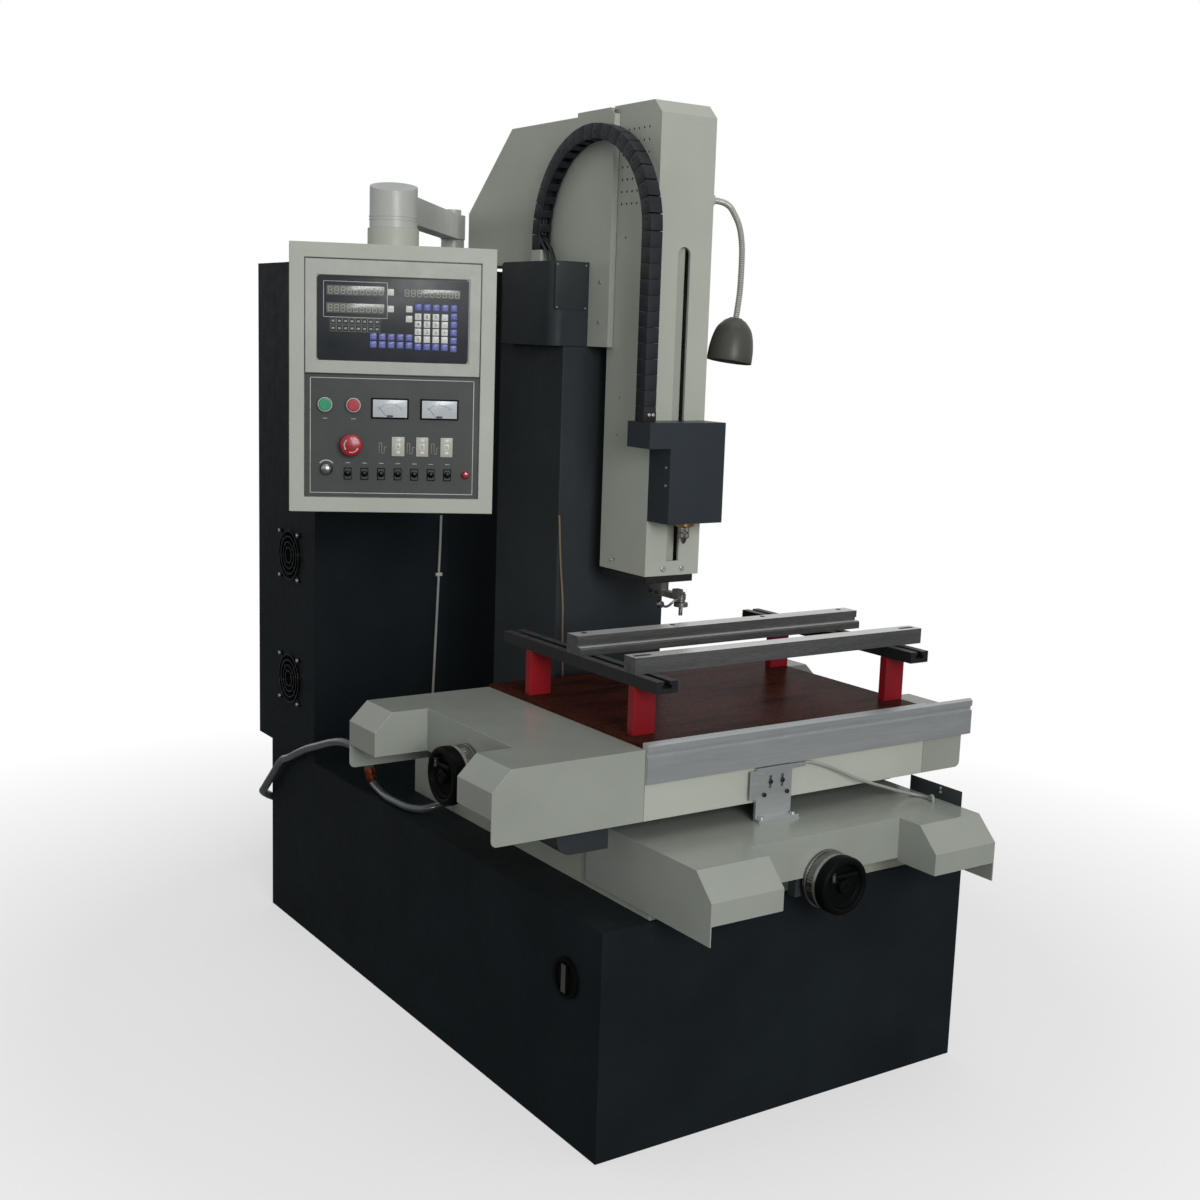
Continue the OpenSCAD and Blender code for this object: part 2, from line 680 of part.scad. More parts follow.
module guide_arm() color([0.35, 0.36, 0.36]) {
  plate = casing_z0 - base_plate_h;
  z1 = plate - 18;
  difference() {
    union() {
      block(-9, 9, casing_y0 + 20, casing_y0 + 60, z1 - 12, plate);
      block(-9, 9, spindle_y - 4, casing_y0 + 30, z1 - 12, z1);
      block(-17, -3, spindle_y - 10, spindle_y + 8, z1 - 1, z1 + 11);
      translate([0, spindle_y, 0]) rotate_extrude() polygon([[0, guide_z0], [4, guide_z0],
        [4, guide_z0 + 16], [14, guide_z0 + 18], [14, guide_z0 + 26], [8, guide_z0 + 28],
        [8, z1 + 4], [0, z1 + 4]]);
    }
    rod_z(guide_z0 - 1, z1 + 12, 0, spindle_y, 1.5);
  }
}

module head_cover() color([0.14, 0.15, 0.17]) {
  w = casing_w / 2;
  y1 = casing_y0 - gap;
  z1 = cover_z0 + cover_h;
  z2 = z1 + cover_top_h;
  t = 2.5;
  difference() {
    union() {
      block(-w, w, cover_y0, y1, cover_z0, z2);
      block(-ear_x, -w, cover_y0, y1, z1, z2);
      block(-ear_x, -w - gap, y1 - 1, casing_y0 + 6, z1, z2);
    }
    block(-w + t, w - t, cover_y0 + t, y1 + 1, cover_z0 + t, z2 - t);
    block(-ear_x + t, -w + t + 1, cover_y0 + t, y1, z1 + t, z2 - t);
    rod_z(cover_z0 - 1, cover_z0 + t + 1, 0, spindle_y, 16);
  }
}

module head_carriage() color([0.55, 0.56, 0.57]) {
  z0 = cover_z0 + 20;
  z1 = cover_z0 + 120;
  mid = (slot_w / 2 + band_w / 2) / 2;
  yb = band_y + band_t + 4;
  difference() {
    union() {
      block(-50, 50, yb, casing_y1 - casing_t - gap, z0, z1);
      for (s = [-1, 1]) block(s * mid - web_w / 2, s * mid + web_w / 2, spindle_y + 14, yb + 1,
        z0 + 10, z1 - 10);
      block(-30, 30, cover_y0 + 8, casing_y0 - 4, z0, z0 + 60);
      block(-40, 40, cover_y0 + 2.5, casing_y0 - 5, z1 - 12, z1);
      for (s = [-1, 1]) block(s * 28 - 3, s * 28 + 3, cover_y0 + 8, casing_y0 - 5, z0 + 50, z1);
    }
    rod_z(z0 - 1, z0 + 61, 0, spindle_y, spindle_r + play);
  }
}

module spindle_chuck() color([0.60, 0.52, 0.38]) translate([0, spindle_y, 0]) rotate_extrude()
  polygon([[0, cover_z0 - 44], [3, cover_z0 - 44], [7, cover_z0 - 34], [11, cover_z0 - 32],
    [11, cover_z0 - 10], [20, cover_z0 - 10], [20, cover_z0 - 1], [spindle_r, cover_z0 - 1],
    [spindle_r, cover_z0 + 90], [0, cover_z0 + 90]]);

module chain_left() color([0.14, 0.14, 0.15])
  block(chain_x, chain_x + chain_w, chain_y + chain_r - chain_t / 2, chain_y + chain_r + chain_t / 2,
    clip_z + clip_h, chain_z);

module chain_arch() color([0.14, 0.14, 0.15])
  translate([chain_x, chain_y, chain_z]) rotate([90, 0, 90]) rotate_extrude(angle = 180)
    translate([chain_r - chain_t / 2, 0]) square([chain_t, chain_w]);

module chain_right() color([0.14, 0.14, 0.15])
  block(chain_x, chain_x + chain_w, chain_y - chain_r - chain_t / 2,
    chain_y - chain_r + chain_t / 2, ear_top, chain_z);

module lamp_gooseneck() color([0.55, 0.55, 0.53]) {
  w = casing_w / 2;
  p = [for (q = lamp_path) [w + q.x, lamp_y, lamp_z + q.y]];
  swept_tube(p, lamp_r, 12);
}

module lamp_shade() color([0.22, 0.23, 0.24]) {
  lean = atan2(lamp_lean.x, lamp_lean.y);
  translate([casing_w / 2 + lamp_end.x, lamp_y, lamp_z + lamp_end.y]) rotate([0, lean, 0]) difference() {
    rotate_extrude() polygon([[0, 0], [13, 0], [17, -3], [25, -9], [33, -18], [38.5, -30],
      [42.5, -46], [45, -64], [45.5, -76], [45.5, -88], [0, -88]]);
    rotate_extrude() polygon([[0, -24], [28, -24], [35, -34], [39.5, -50], [42.5, -68], [43, -78],
      [43, -90], [0, -90]]);
  }
}

// ---- cross slide ----
module saddle() color([0.15, 0.16, 0.17]) {
  x0 = saddle_x0;
  x1 = saddle_x1;
  y1 = saddle_y0 + saddle_d;
  difference() {
    along_y(saddle_y0, y1) polygon(concat([[x0, saddle_z1], [x0, saddle_z0 + 30]],
      corner([x0 + 30, saddle_z0 + 30], 30, 180, 270), corner([x1 - 30, saddle_z0 + 30], 30, 270, 360),
      [[x1, saddle_z1]]));
    block(x0 - 1, x1 + 1, screw_y - groove_w / 2, screw_y + groove_w / 2, saddle_z1 - groove_h,
      saddle_z1 + 1);
    block(x0 + saddle_foot, x1 + 1, saddle_y0 - 1, saddle_front, saddle_z0 - 1, saddle_z1 - saddle_lip);
  }
  difference() {
    union() {
      rod_x(x_wheel.x + 1, x0 + 20, screw_y, saddle_z1, 22);
      block(x0, x0 + 20, screw_y - groove_w / 2, screw_y + groove_w / 2, saddle_z1 - groove_h - 1,
        saddle_z1);
      block(268, 288, screw_y - 24, screw_y + 24, saddle_z1 - groove_h - 1, saddle_z1 + 22);
    }
    rod_x(x_wheel.x - 1, x0 + 21, screw_y, saddle_z1, 8 + play);
    rod_x(267, 289, screw_y, saddle_z1, 8 + play);
  }
  difference() {
    union() {
      block(-60, 60, -60, saddle_front + 1, saddle_z0, yc_roof - cover_t - gap);
      block(-60, 60, -60, -40, y_screw_z - 30, yc_roof - cover_t - gap);
    }
    rod_y(-61, -39, 0, y_screw_z, 8 + play);
  }
}

module yc_profile(front, t) {
  polygon(inset([[front, deck_z + 8], [saddle_front, deck_z + 8], [saddle_front, yc_roof],
    [front + yc_chamfer, yc_roof], [front, yc_roof - yc_chamfer]], t));
}

module y_cover() color([0.70, 0.71, 0.67]) {
  w = y_cover_w / 2;
  t = cover_t;
  in = w - yc_wing;
  low = deck_z + 14;
  recess = [[yc_recess, deck_z + 8], [saddle_front, deck_z + 8], [saddle_front, yc_roof],
    [yc_recess, yc_roof]];
  difference() {
    union() {
      along_x(-w, -in) yc_profile(yc_front, 0);
      along_x(in, w) yc_profile(yc_front, 0);
      along_x(-in - 1, in + 1) polygon(recess);
      for (s = [-1, 1]) block(s > 0 ? w - t : -w, s > 0 ? w : -w + t, saddle_front - 2, saddle_front + 50, low,
        saddle_z0 - gap);
    }
    along_x(-w + t, -in - t) yc_profile(yc_front, t);
    along_x(in + t, w - t) yc_profile(yc_front, t);
    along_x(-w + t, w - t) polygon(inset(recess, t));
    block(-w + t, w - t, saddle_front - 2 * t, saddle_front + 1, 0, yc_roof - t);
    block(-w + t, w - t, yc_recess + t, saddle_front + 60, 0, low + 30);
    block(-w + t, -in - t, yc_front + t, saddle_front, 0, low + 30);
    block(in + t, w - t, yc_front + t, saddle_front, 0, low + 30);
    block(-w - 1, w + 1, yc_front - 1, saddle_front, 0, low);
    block(-w + t, -in, yc_front - 1, yc_front + t + 1, 0, low + 35);
    block(in, w - t, yc_front - 1, yc_front + t + 1, 0, low + 35);
    for (s = [-1, 1]) block(s > 0 ? in - 1 : -in - t - 1, s > 0 ? in + t + 1 : -in + 1,
      yc_front - 1, yc_recess + t + 1, 0, low + 35);
    block(-in - 1, in + 1, yc_recess - 1, yc_recess + t + 1, 0, low + 41);
    rod_y(yc_recess - 1, yc_recess + t + 1, 0, y_screw_z, 24);
  }
}

module handwheel() {
  rotate([90, 0, 0]) rotate_extrude() {
    polygon([[0, 0], [dial_r, 0], [dial_r, 7], [dial_r - 3, 7.5], [dial_r - 3, 9],
      [dial_r - 1.5, 9.5], [dial_r - 1.5, wheel_back - 4], [dial_r - 6, wheel_back], [0, wheel_back]]);
    f = wheel_back + wheel_w;
    polygon(concat([[0, wheel_back - 1], [wheel_r - 8, wheel_back - 1]],
      corner([wheel_r - 8, wheel_back + 7], 8, -90, 0), corner([wheel_r - 7, f - 7], 7, 0, 90),
      [[wheel_r - 12, f - 1], [wheel_r - 15, f - 11], [14, f - 11], [13, f - 2], [10, f], [0, f]]));
  }
  translate([handle_x, handle_y, handle_z]) for (s = [-1, 1]) difference() {
    block(-4, 5, -4, 6, s > 0 ? 5.8 : -8.8, s > 0 ? 8.8 : -5.8);
    translate([0, 0, -10]) cylinder(h = 20, r = 2 + play);
  }
}

module folding_handle() translate([handle_x, handle_y, handle_z]) {
  cylinder(h = 11, r = 3.9, center = true);
  cylinder(h = 17, r = 2, center = true);
  rotate([0, -90, 0]) rotate_extrude() polygon([[0, 0], [3, 0], [3, 8], [5, 10], [4.2, 22],
    [5.2, 48], [4.4, 53], [0, 55]]);
}

module y_handwheel() color([0.10, 0.10, 0.10]) translate(y_wheel) handwheel();
module y_handle() color([0.12, 0.12, 0.13]) translate(y_wheel) folding_handle();
module y_screw() color([0.7, 0.7, 0.7]) {
  rod_y(y_wheel.y, -20, 0, y_screw_z, 8);
  rod_y(-21, saddle_y0 + saddle_d - 70, 0, y_screw_z, screw_r);
}

module x_handwheel() color([0.10, 0.10, 0.10]) translate(x_wheel) rotate([0, 0, -90]) handwheel();
module x_handle() color([0.12, 0.12, 0.13]) translate(x_wheel) rotate([0, 0, -90])
  folding_handle();
module x_screw() color([0.7, 0.7, 0.7]) {
  rod_x(x_wheel.x, 290, screw_y, saddle_z1, 8);
  rod_x(saddle_x0 + 24, 264, screw_y, saddle_z1, screw_r);
}

module scale_bracket() color([0.72, 0.73, 0.74]) difference() {
  union() {
    block(-80, 3, 36, 42, yc_roof, yc_roof + 100);
    block(-80, 14, 24, 37, yc_roof, yc_roof + 6);
    block(2, 36, 37, 43, yc_roof + 91, yc_roof + 99);
    block(-97, -82, 33, 35.5, yc_roof + 43, yc_roof + 97);
    block(-83, -63, 34, 37, yc_roof + 60, yc_roof + 90);
  }
  for (x = [-62, -8]) rod_y(35, 43, x, yc_roof + 49, 3);
  for (x = [-48, -20]) block(x - 3, x + 3, 35, 43, yc_roof + 60, yc_roof + 84);
}

module table_body() color([0.16, 0.17, 0.18]) {
  x0 = table_x0 + 10;
  x1 = table_x1 - 12;
  difference() {
    block(x0, x1, granite_y0 + 5, granite_y0 + granite_d - 8, table_z0, table_z1);
    block(x0 - 1, x1 + 1, screw_y - groove_w / 2, screw_y + groove_w / 2, table_z0 - 1,
      table_z0 + groove_h);
  }
  difference() {
    block(-132, -92, screw_y - 24, screw_y + 24, saddle_z1 - 20, table_z0 + groove_h + 1);
    rod_x(-133, -91, screw_y, saddle_z1, screw_r + play);
  }
}

module granite_top() color([0.28, 0.13, 0.09])
  block(seam_x, table_x1, granite_y0, granite_y0 + granite_d, table_z1, granite_z1);

module profile_section() polygon([[granite_y0 - 18, profile_z0], [granite_y0, profile_z0],
  [granite_y0, granite_z1 + 4], [granite_y0 - 7, granite_z1 + 6], [granite_y0 - 18, granite_z1 + 1],
  [granite_y0 - 18, granite_z1 - 10], [granite_y0 - 14, granite_z1 - 11],
  [granite_y0 - 14, granite_z1 - 18], [granite_y0 - 18, granite_z1 - 19]]);

module edge_profile() color([0.62, 0.64, 0.66]) {
  along_x(seam_x, table_x1) profile_section();
  intersection() {
    along_x(table_x1 - 1, profile_x1) profile_section();
    block(table_x1 - 2, profile_x1 + 1, granite_y0 - 20, cover_front - gap, 0, granite_z1 + 10);
  }
}

module front_panel() color([0.70, 0.71, 0.67]) {
  block(seam_x + 0.5, table_x1 - 0.5, cover_front, cover_front + cover_t, skirt_z, profile_z0 - gap);
  block(seam_x + 0.5, table_x1 - 12, cover_front, granite_y0 + 5, profile_z0 - gap - cover_t,
    profile_z0 - gap);
}

module skirt_plate(x0, x1, y, z0, z1, r = 12) {
  along_y(y, y + cover_t) polygon(concat(corner([x0 + r, z0 + r], r, 180, 270), [[x1, z0], [x1, z1],
    [x0, z1]]));
}

// Cover of one table end, drawn for the left end: the far wing faces lie at x = -reach.
module end_cover(reach) {
  t = cover_t;
  roof = cover_roof;
  low = table_z0 + 2;
  ch = 36;
  y1 = cover_rear;
  p = [[-reach, low], [0, low], [0, roof], [-reach + ch, roof], [-reach, roof - ch]];
  flat = [[-t, low], [0, low], [0, roof], [-t, roof]];
  recess0 = cover_front + wing_d;
  recess1 = y1 - wing_d + 7;
  difference() {
    union() {
      along_y(cover_front, recess0) polygon(p);
      along_y(recess1, y1) polygon(p);
      block(-t, 0, recess0 - 1, recess1 + 1, low, roof);
    }
    along_y(cover_front + t, recess0 - t) polygon(inset(p, t));
    along_y(recess1 + t, y1 - t) polygon(inset(p, t));
    block(-reach + t, 1, cover_front + t, recess0 - t, low - 1, low + 20);
    block(-reach + t, 1, recess1 + t, y1 - t, low - 1, low + 20);
    block(-10, 1, cover_front + t, recess0 - t, low - 1, roof - t);
    block(-10, 1, recess1 + t, y1 - t, low - 1, roof - t);
    rod_x(-t - 1, 1, screw_y, saddle_z1, 26);
  }
  for (y = [cover_front, y1 - t]) skirt_plate(-reach, 0, y, skirt_z, low + 1);
}

module x_cover_left() color([0.70, 0.71, 0.67]) {
  translate([table_x0, 0, 0]) end_cover(reach_left);
  for (y = [cover_front, cover_rear - cover_t])
    block(table_x0 - 1, seam_x, y, y + cover_t, skirt_z, cover_roof - 1);
  block(table_x0 - 1, seam_x, cover_front, cover_rear, cover_roof - cover_t, cover_roof);
}

module x_cover_right() color([0.70, 0.71, 0.67]) {
  translate([table_x1, 0, 0]) mirror([1, 0, 0]) end_cover(reach_right);
  block(table_x1 - 60, table_x1 + 1, cover_rear - cover_t, cover_rear, skirt_z, profile_z0 - gap);
}

// ---- work fixture ----
module fixture_rails() color([0.10, 0.10, 0.11]) for (x = rail_x0s)
  along_y(rail_y0, rail_y0 + rail_l) difference() {
    m = x + rail_w / 2;
    translate([x, rail_z0]) square([rail_w, rail_h]);
    translate([m - 6, rail_z1 - 9]) square([12, 10]);
    translate([m - 10, rail_z1 - 14]) square([20, 7]);
  }

module fixture_pillars() color([0.62, 0.12, 0.12])
  for (x = rail_x0s) for (y = pillar_ys)
    block(x - 1, x + rail_w + 1, y, y + 18, granite_z1, rail_z0);

module fixture_bars() color([0.50, 0.51, 0.52]) {
  x1 = bar_x0 + bar_l;
  along_x(bar_x0, x1) polygon(concat([[bar_a_y - 10, rail_z1], [bar_a_y + 38, rail_z1],
    [bar_a_y + 38, rail_z1 + 36], [bar_a_y, rail_z1 + 36], [bar_a_y, rail_z1 + 22],
    [bar_a_y + 4, rail_z1 + 22], [bar_a_y + 4, rail_z1 + 16]],
    corner([bar_a_y - 5, rail_z1 + 11], 5, 90, 180)));
  difference() {
    block(bar_x0, x1 + 2, bar_b_y, bar_b_y + 35, rail_z1, rail_z1 + 30);
    for (x = [bar_x0 + 26, x1 - 24]) {
      block(x - 14, x + 14, bar_b_y + 12, bar_b_y + 23, rail_z1 - 1, rail_z1 + 31);
      for (s = [-14, 14]) rod_z(rail_z1 - 1, rail_z1 + 31, x + s, bar_b_y + 17.5, 5.5);
    }
  }
}

// ---- hoses and cable ----
module hose_long() color([0.62, 0.65, 0.62]) swept_tube([for (p = hose_route) long_at(p)], hose_r);
module hose_short() color([0.62, 0.65, 0.62])
  swept_tube([for (p = hose_short_route) short_at(p)], hose_short_r);
module scale_cable() color([0.55, 0.56, 0.54])
  swept_tube([for (p = cable_route) cable_at(p)], cable_r);

from_front() base_cabinet();
from_front() base_latch();
from_front() bed();
from_front() column();
from_front() column_head();
from_front() hood_rear();
from_front() hood_front();
from_front() cabinet_body();
from_front() fan_units();
from_front() fan_rotor(fan_zs[0]);  // fan_rotor_upper
from_front() fan_rotor(fan_zs[1]);  // fan_rotor_lower
from_front() arm_post();
from_front() pendant_arm();
from_front() pendant_box();
from_front() dro_unit();
from_front() control_panel();
from_front() start_button();
from_front() stop_button();
from_front() estop_button();
from_front() toggle(0);  // toggle_1
from_front() toggle(1);  // toggle_2
from_front() toggle(2);  // toggle_3
from_front() toggle(3);  // toggle_4
from_front() toggle(4);  // toggle_5
from_front() toggle(5);  // toggle_6
from_front() toggle(6);  // toggle_7
from_front() power_knob();
from_front() casing();
from_front() slot_band();
from_front() casing_base();
from_front() guide_arm();
from_front() head_cover();
from_front() head_carriage();
from_front() spindle_chuck();
from_front() chain_left();
from_front() chain_arch();
from_front() chain_right();
from_front() lamp_gooseneck();
from_front() lamp_shade();
from_front() saddle();
from_front() y_cover();
from_front() y_handwheel();
from_front() y_handle();
from_front() y_screw();
from_front() scale_bracket();
from_front() table_body();
from_front() granite_top();
from_front() edge_profile();
from_front() front_panel();
from_front() x_cover_left();
from_front() x_cover_right();
from_front() x_handwheel();
from_front() x_handle();
from_front() x_screw();
from_front() fixture_rails();
from_front() fixture_pillars();
from_front() fixture_bars();
from_front() hose_long();
from_front() hose_short();
from_front() scale_cable();
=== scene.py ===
import json
import logging
import math
from contextlib import contextmanager
from dataclasses import dataclass, field
from enum import Enum
from typing import Callable, Iterator, Sequence

import bmesh
import bpy
from mathutils import Matrix, Vector


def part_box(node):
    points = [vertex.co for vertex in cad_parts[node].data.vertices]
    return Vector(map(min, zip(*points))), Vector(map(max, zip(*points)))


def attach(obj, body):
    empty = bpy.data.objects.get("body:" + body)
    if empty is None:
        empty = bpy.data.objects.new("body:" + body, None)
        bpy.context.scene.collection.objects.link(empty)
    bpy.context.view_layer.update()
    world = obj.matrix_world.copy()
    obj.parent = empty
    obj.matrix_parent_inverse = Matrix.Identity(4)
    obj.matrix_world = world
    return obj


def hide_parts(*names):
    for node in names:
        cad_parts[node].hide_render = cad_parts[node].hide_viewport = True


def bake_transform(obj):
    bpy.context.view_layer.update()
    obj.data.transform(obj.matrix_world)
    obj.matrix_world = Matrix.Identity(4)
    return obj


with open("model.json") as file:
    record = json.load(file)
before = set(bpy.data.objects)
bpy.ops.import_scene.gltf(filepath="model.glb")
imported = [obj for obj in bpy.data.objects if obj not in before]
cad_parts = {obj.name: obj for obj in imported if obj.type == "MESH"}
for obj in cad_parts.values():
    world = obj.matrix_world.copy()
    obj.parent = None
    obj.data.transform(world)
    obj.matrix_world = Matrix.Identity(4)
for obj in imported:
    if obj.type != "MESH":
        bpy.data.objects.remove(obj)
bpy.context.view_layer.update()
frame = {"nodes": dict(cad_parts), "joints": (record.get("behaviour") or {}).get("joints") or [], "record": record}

RECORD = frame["record"]
BODY_OF = {n: body for body, nodes in RECORD["behaviour"]["bodies"].items() for n in nodes}
SLOT_OF = {part["node"]: part["material_slot"] for part in RECORD["subparts"]}
MM = 0.001
LOG = logging.getLogger("drilling_machine")

Point = Sequence[float]
Piece = bpy.types.Object
Tree = bpy.types.NodeTree
Node = bpy.types.Node
Socket = bpy.types.NodeSocket
LEFT, RIGHT, FRONT, REAR, UP = (-1, 0, 0), (1, 0, 0), (0, -1, 0), (0, 1, 0), (0, 0, 1)
WHITE = (1.0, 1.0, 1.0, 1.0)


class Axis(Enum):
    """A main direction of the machine."""

    X = 0
    Y = 1
    Z = 2


class Lie(Enum):
    """Which way a metal's grinding marks run."""

    ALONG_X = (0.06, 1.0, 1.0)
    ALONG_Z = (1.0, 1.0, 0.06)


class Head(Enum):
    """Radius and height of the screw heads."""

    HOOD = (0.0036, 0.0022)
    FAN = (0.0042, 0.0026)
    CASING = (0.0056, 0.004)
    SIDE = (0.0026, 0.0016)
    COVER = (0.0026, 0.0018)
    GUIDE = (0.004, 0.004)
    CHAIN = (0.0034, 0.0022)
    BRACKET = (0.0042, 0.0034)
    FOOT = (0.005, 0.004)
    GUARD = (0.0028, 0.002)
    BAR = (0.0055, 0.0006)


# ---- colours and finishes ----


def srgb(red: float, green: float, blue: float) -> tuple[float, float, float, float]:
    """A display colour, 0 to 255, as linear light.

    Args:
        red: red part.
        green: green part.
        blue: blue part.

    Returns:
        The colour with an alpha of 1.
    """
    def linear(v: float) -> float:
        """One part of the colour as linear light."""
        v /= 255
        return v / 12.92 if v <= 0.04045 else ((v + 0.055) / 1.055) ** 2.4

    return (linear(red), linear(green), linear(blue), 1.0)


def wired(tree: Tree, kind: str, **links: object) -> Node:
    """A node with its inputs set or linked.

    Args:
        tree: the node tree it stands in.
        kind: the node's type.
        links: inputs by name, with _ for a space; a socket is linked, a number is set, and
            names that are the node's own settings are set on it.

    Returns:
        The new node.
    """
    node = tree.nodes.new(kind)
    for key, value in links.items():
        if hasattr(node, key):
            setattr(node, key, value)
            continue
        label = key.replace("_", " ")
        by_place = label[0] == "i" and label[1:].isdigit()
        socket = node.inputs[int(label[1:]) if by_place else label]
        if isinstance(value, Socket):
            tree.links.new(value, socket)
        else:
            socket.default_value = value
    return node


def noise(tree: Tree, position: Socket, scale: object, detail: float, rough: float) -> Socket:
    """A noise texture's value.

    Args:
        tree: the node tree it stands in.
        position: where it is read.
        scale: its scale, a number or a socket.
        detail: its layers.
        rough: strength of the finer layers.

    Returns:
        The value socket.
    """
    node = wired(tree, "ShaderNodeTexNoise", Vector=position, Scale=scale, Detail=detail, Roughness=rough)
    return node.outputs["Fac"]


def reckoned(tree: Tree, operation: str, first: object, second: object, clamp: bool = False) -> Socket:
    """The result of a maths node.

    Args:
        tree: the node tree it stands in.
        operation: what it does.
        first: its first number or socket.
        second: its second number or socket.
        clamp: keeps the result from 0 to 1.

    Returns:
        The value socket.
    """
    return wired(tree, "ShaderNodeMath", operation=operation, use_clamp=clamp, i0=first,
                 i1=second).outputs[0]


def mapped(tree: Tree, value: Socket, start: float, end: float, low: float = 0.0,
           high: float = 1.0) -> Socket:
    """A value's span from start to end, brought onto low to high.

    Args:
        tree: the node tree it stands in.
        value: the value.
        start: the span's start.
        end: the span's end.
        low: result at the start.
        high: result at the end.

    Returns:
        The value socket.
    """
    return wired(tree, "ShaderNodeMapRange", Value=value, From_Min=start, From_Max=end, To_Min=low,
                 To_Max=high).outputs[0]


@dataclass(frozen=True)
class Effect:
    """A look that several finishes share, kept as one shader node group."""

    name: str
    inputs: tuple
    outputs: tuple
    lay: Callable[..., tuple]

    def tree(self) -> Tree:
        """The group's node tree, made on first use.

        Returns:
            The node tree.
        """
        if self.name in bpy.data.node_groups:
            return bpy.data.node_groups[self.name]
        tree = bpy.data.node_groups.new(self.name, "ShaderNodeTree")
        face = tree.interface
        face.new_socket("Position", in_out="INPUT", socket_type="NodeSocketVector")
        for key, value in self.inputs:
            face.new_socket(key, in_out="INPUT", socket_type="NodeSocketFloat").default_value = value
        for key in self.outputs:
            face.new_socket(key, in_out="OUTPUT", socket_type="NodeSocketFloat")
        start, end = tree.nodes.new("NodeGroupInput"), tree.nodes.new("NodeGroupOutput")
        for key, socket in zip(self.outputs, self.lay(tree, start.outputs)):
            tree.links.new(socket, end.inputs[key])
        return tree

    def placed(self, tree: Tree, position: Socket, **values: float) -> Sequence[Socket]:
        """Places the group in a material.

        Args:
            tree: the material's node tree.
            position: its position input.
            values: its other inputs, with _ for a space.

        Returns:
            Its outputs.
        """
        node = tree.nodes.new("ShaderNodeGroup")
        node.node_tree = self.tree()
        tree.links.new(position, node.inputs["Position"])
        for key, value in values.items():
            node.inputs[key.replace("_", " ")].default_value = value
        return node.outputs


def lay_clouds(tree: Tree, start: Sequence[Socket]) -> tuple:
    """Soft clouds for uneven paint: a tone, a roughness change and a fine height.

    Args:
        tree: the group's node tree.
        start: the group's inputs.

    Returns:
        The sockets of its outputs.
    """
    here = start["Position"]
    return (noise(tree, here, start["Cloud Scale"], 4.0, 0.55), noise(tree, here, 28.0, 5.0, 0.65),
            noise(tree, here, start["Grain Scale"], 2.0, 0.5))


def lay_scuffs(tree: Tree, start: Sequence[Socket]) -> tuple:
    """Sparse hairline scuffs: a mask that is mostly nothing.

    Args:
        tree: the group's node tree.
        start: the group's inputs.

    Returns:
        The sockets of its outputs.
    """
    lean = wired(tree, "ShaderNodeMapping", Vector=start["Position"], Rotation=(0.5, 0.3, 0.9),
                 Scale=(1.0, 9.0, 3.0))
    lines = noise(tree, lean.outputs[0], start["Scuff Scale"], 6.0, 0.7)
    return (reckoned(tree, "MULTIPLY", reckoned(tree, "SUBTRACT", lines, start["Cut"]), 9.0, True),)


def lay_dust(tree: Tree, start: Sequence[Socket]) -> tuple:
    """Settled dust: strongest on faces that look up, broken by clouds.

    Args:
        tree: the group's node tree.
        start: the group's inputs.

    Returns:
        The sockets of its outputs.
    """
    normal = tree.nodes.new("ShaderNodeNewGeometry").outputs["Normal"]
    up = wired(tree, "ShaderNodeSeparateXYZ", i0=normal).outputs["Z"]
    level = mapped(tree, up, 0.2, 1.0, 0.12)
    patch = mapped(tree, noise(tree, start["Position"], 11.0, 7.0, 0.7), 0.4, 0.75)
    return (reckoned(tree, "MULTIPLY", reckoned(tree, "MULTIPLY", level, patch), start["Dust"], True),)


def lay_grinding(tree: Tree, start: Sequence[Socket]) -> tuple:
    """Grinding lines, stretched along the way the metal was ground: tone, height and stain.

    Args:
        tree: the group's node tree.
        start: the group's inputs.

    Returns:
        The sockets of its outputs.
    """
    here = start["Position"]
    lines = noise(tree, here, start["Line Scale"], 3.0, 0.6)
    tone = reckoned(tree, "MULTIPLY", lines, noise(tree, here, 40.0, 4.0, 0.6))
    return tone, lines, noise(tree, here, 9.0, 6.0, 0.7)


CLOUDS = Effect("paint_clouds", (("Cloud Scale", 6.0), ("Grain Scale", 900.0)), ("Tone", "Gloss", "Grain"),
                lay_clouds)
SCUFFS = Effect("hairline_scuffs", (("Scuff Scale", 14.0), ("Cut", 0.7)), ("Mask",), lay_scuffs)
DUST = Effect("settled_dust", (("Dust", 0.3),), ("Mask",), lay_dust)
GRINDING = Effect("grinding_lines", (("Line Scale", 500.0),), ("Tone", "Height", "Stain"), lay_grinding)


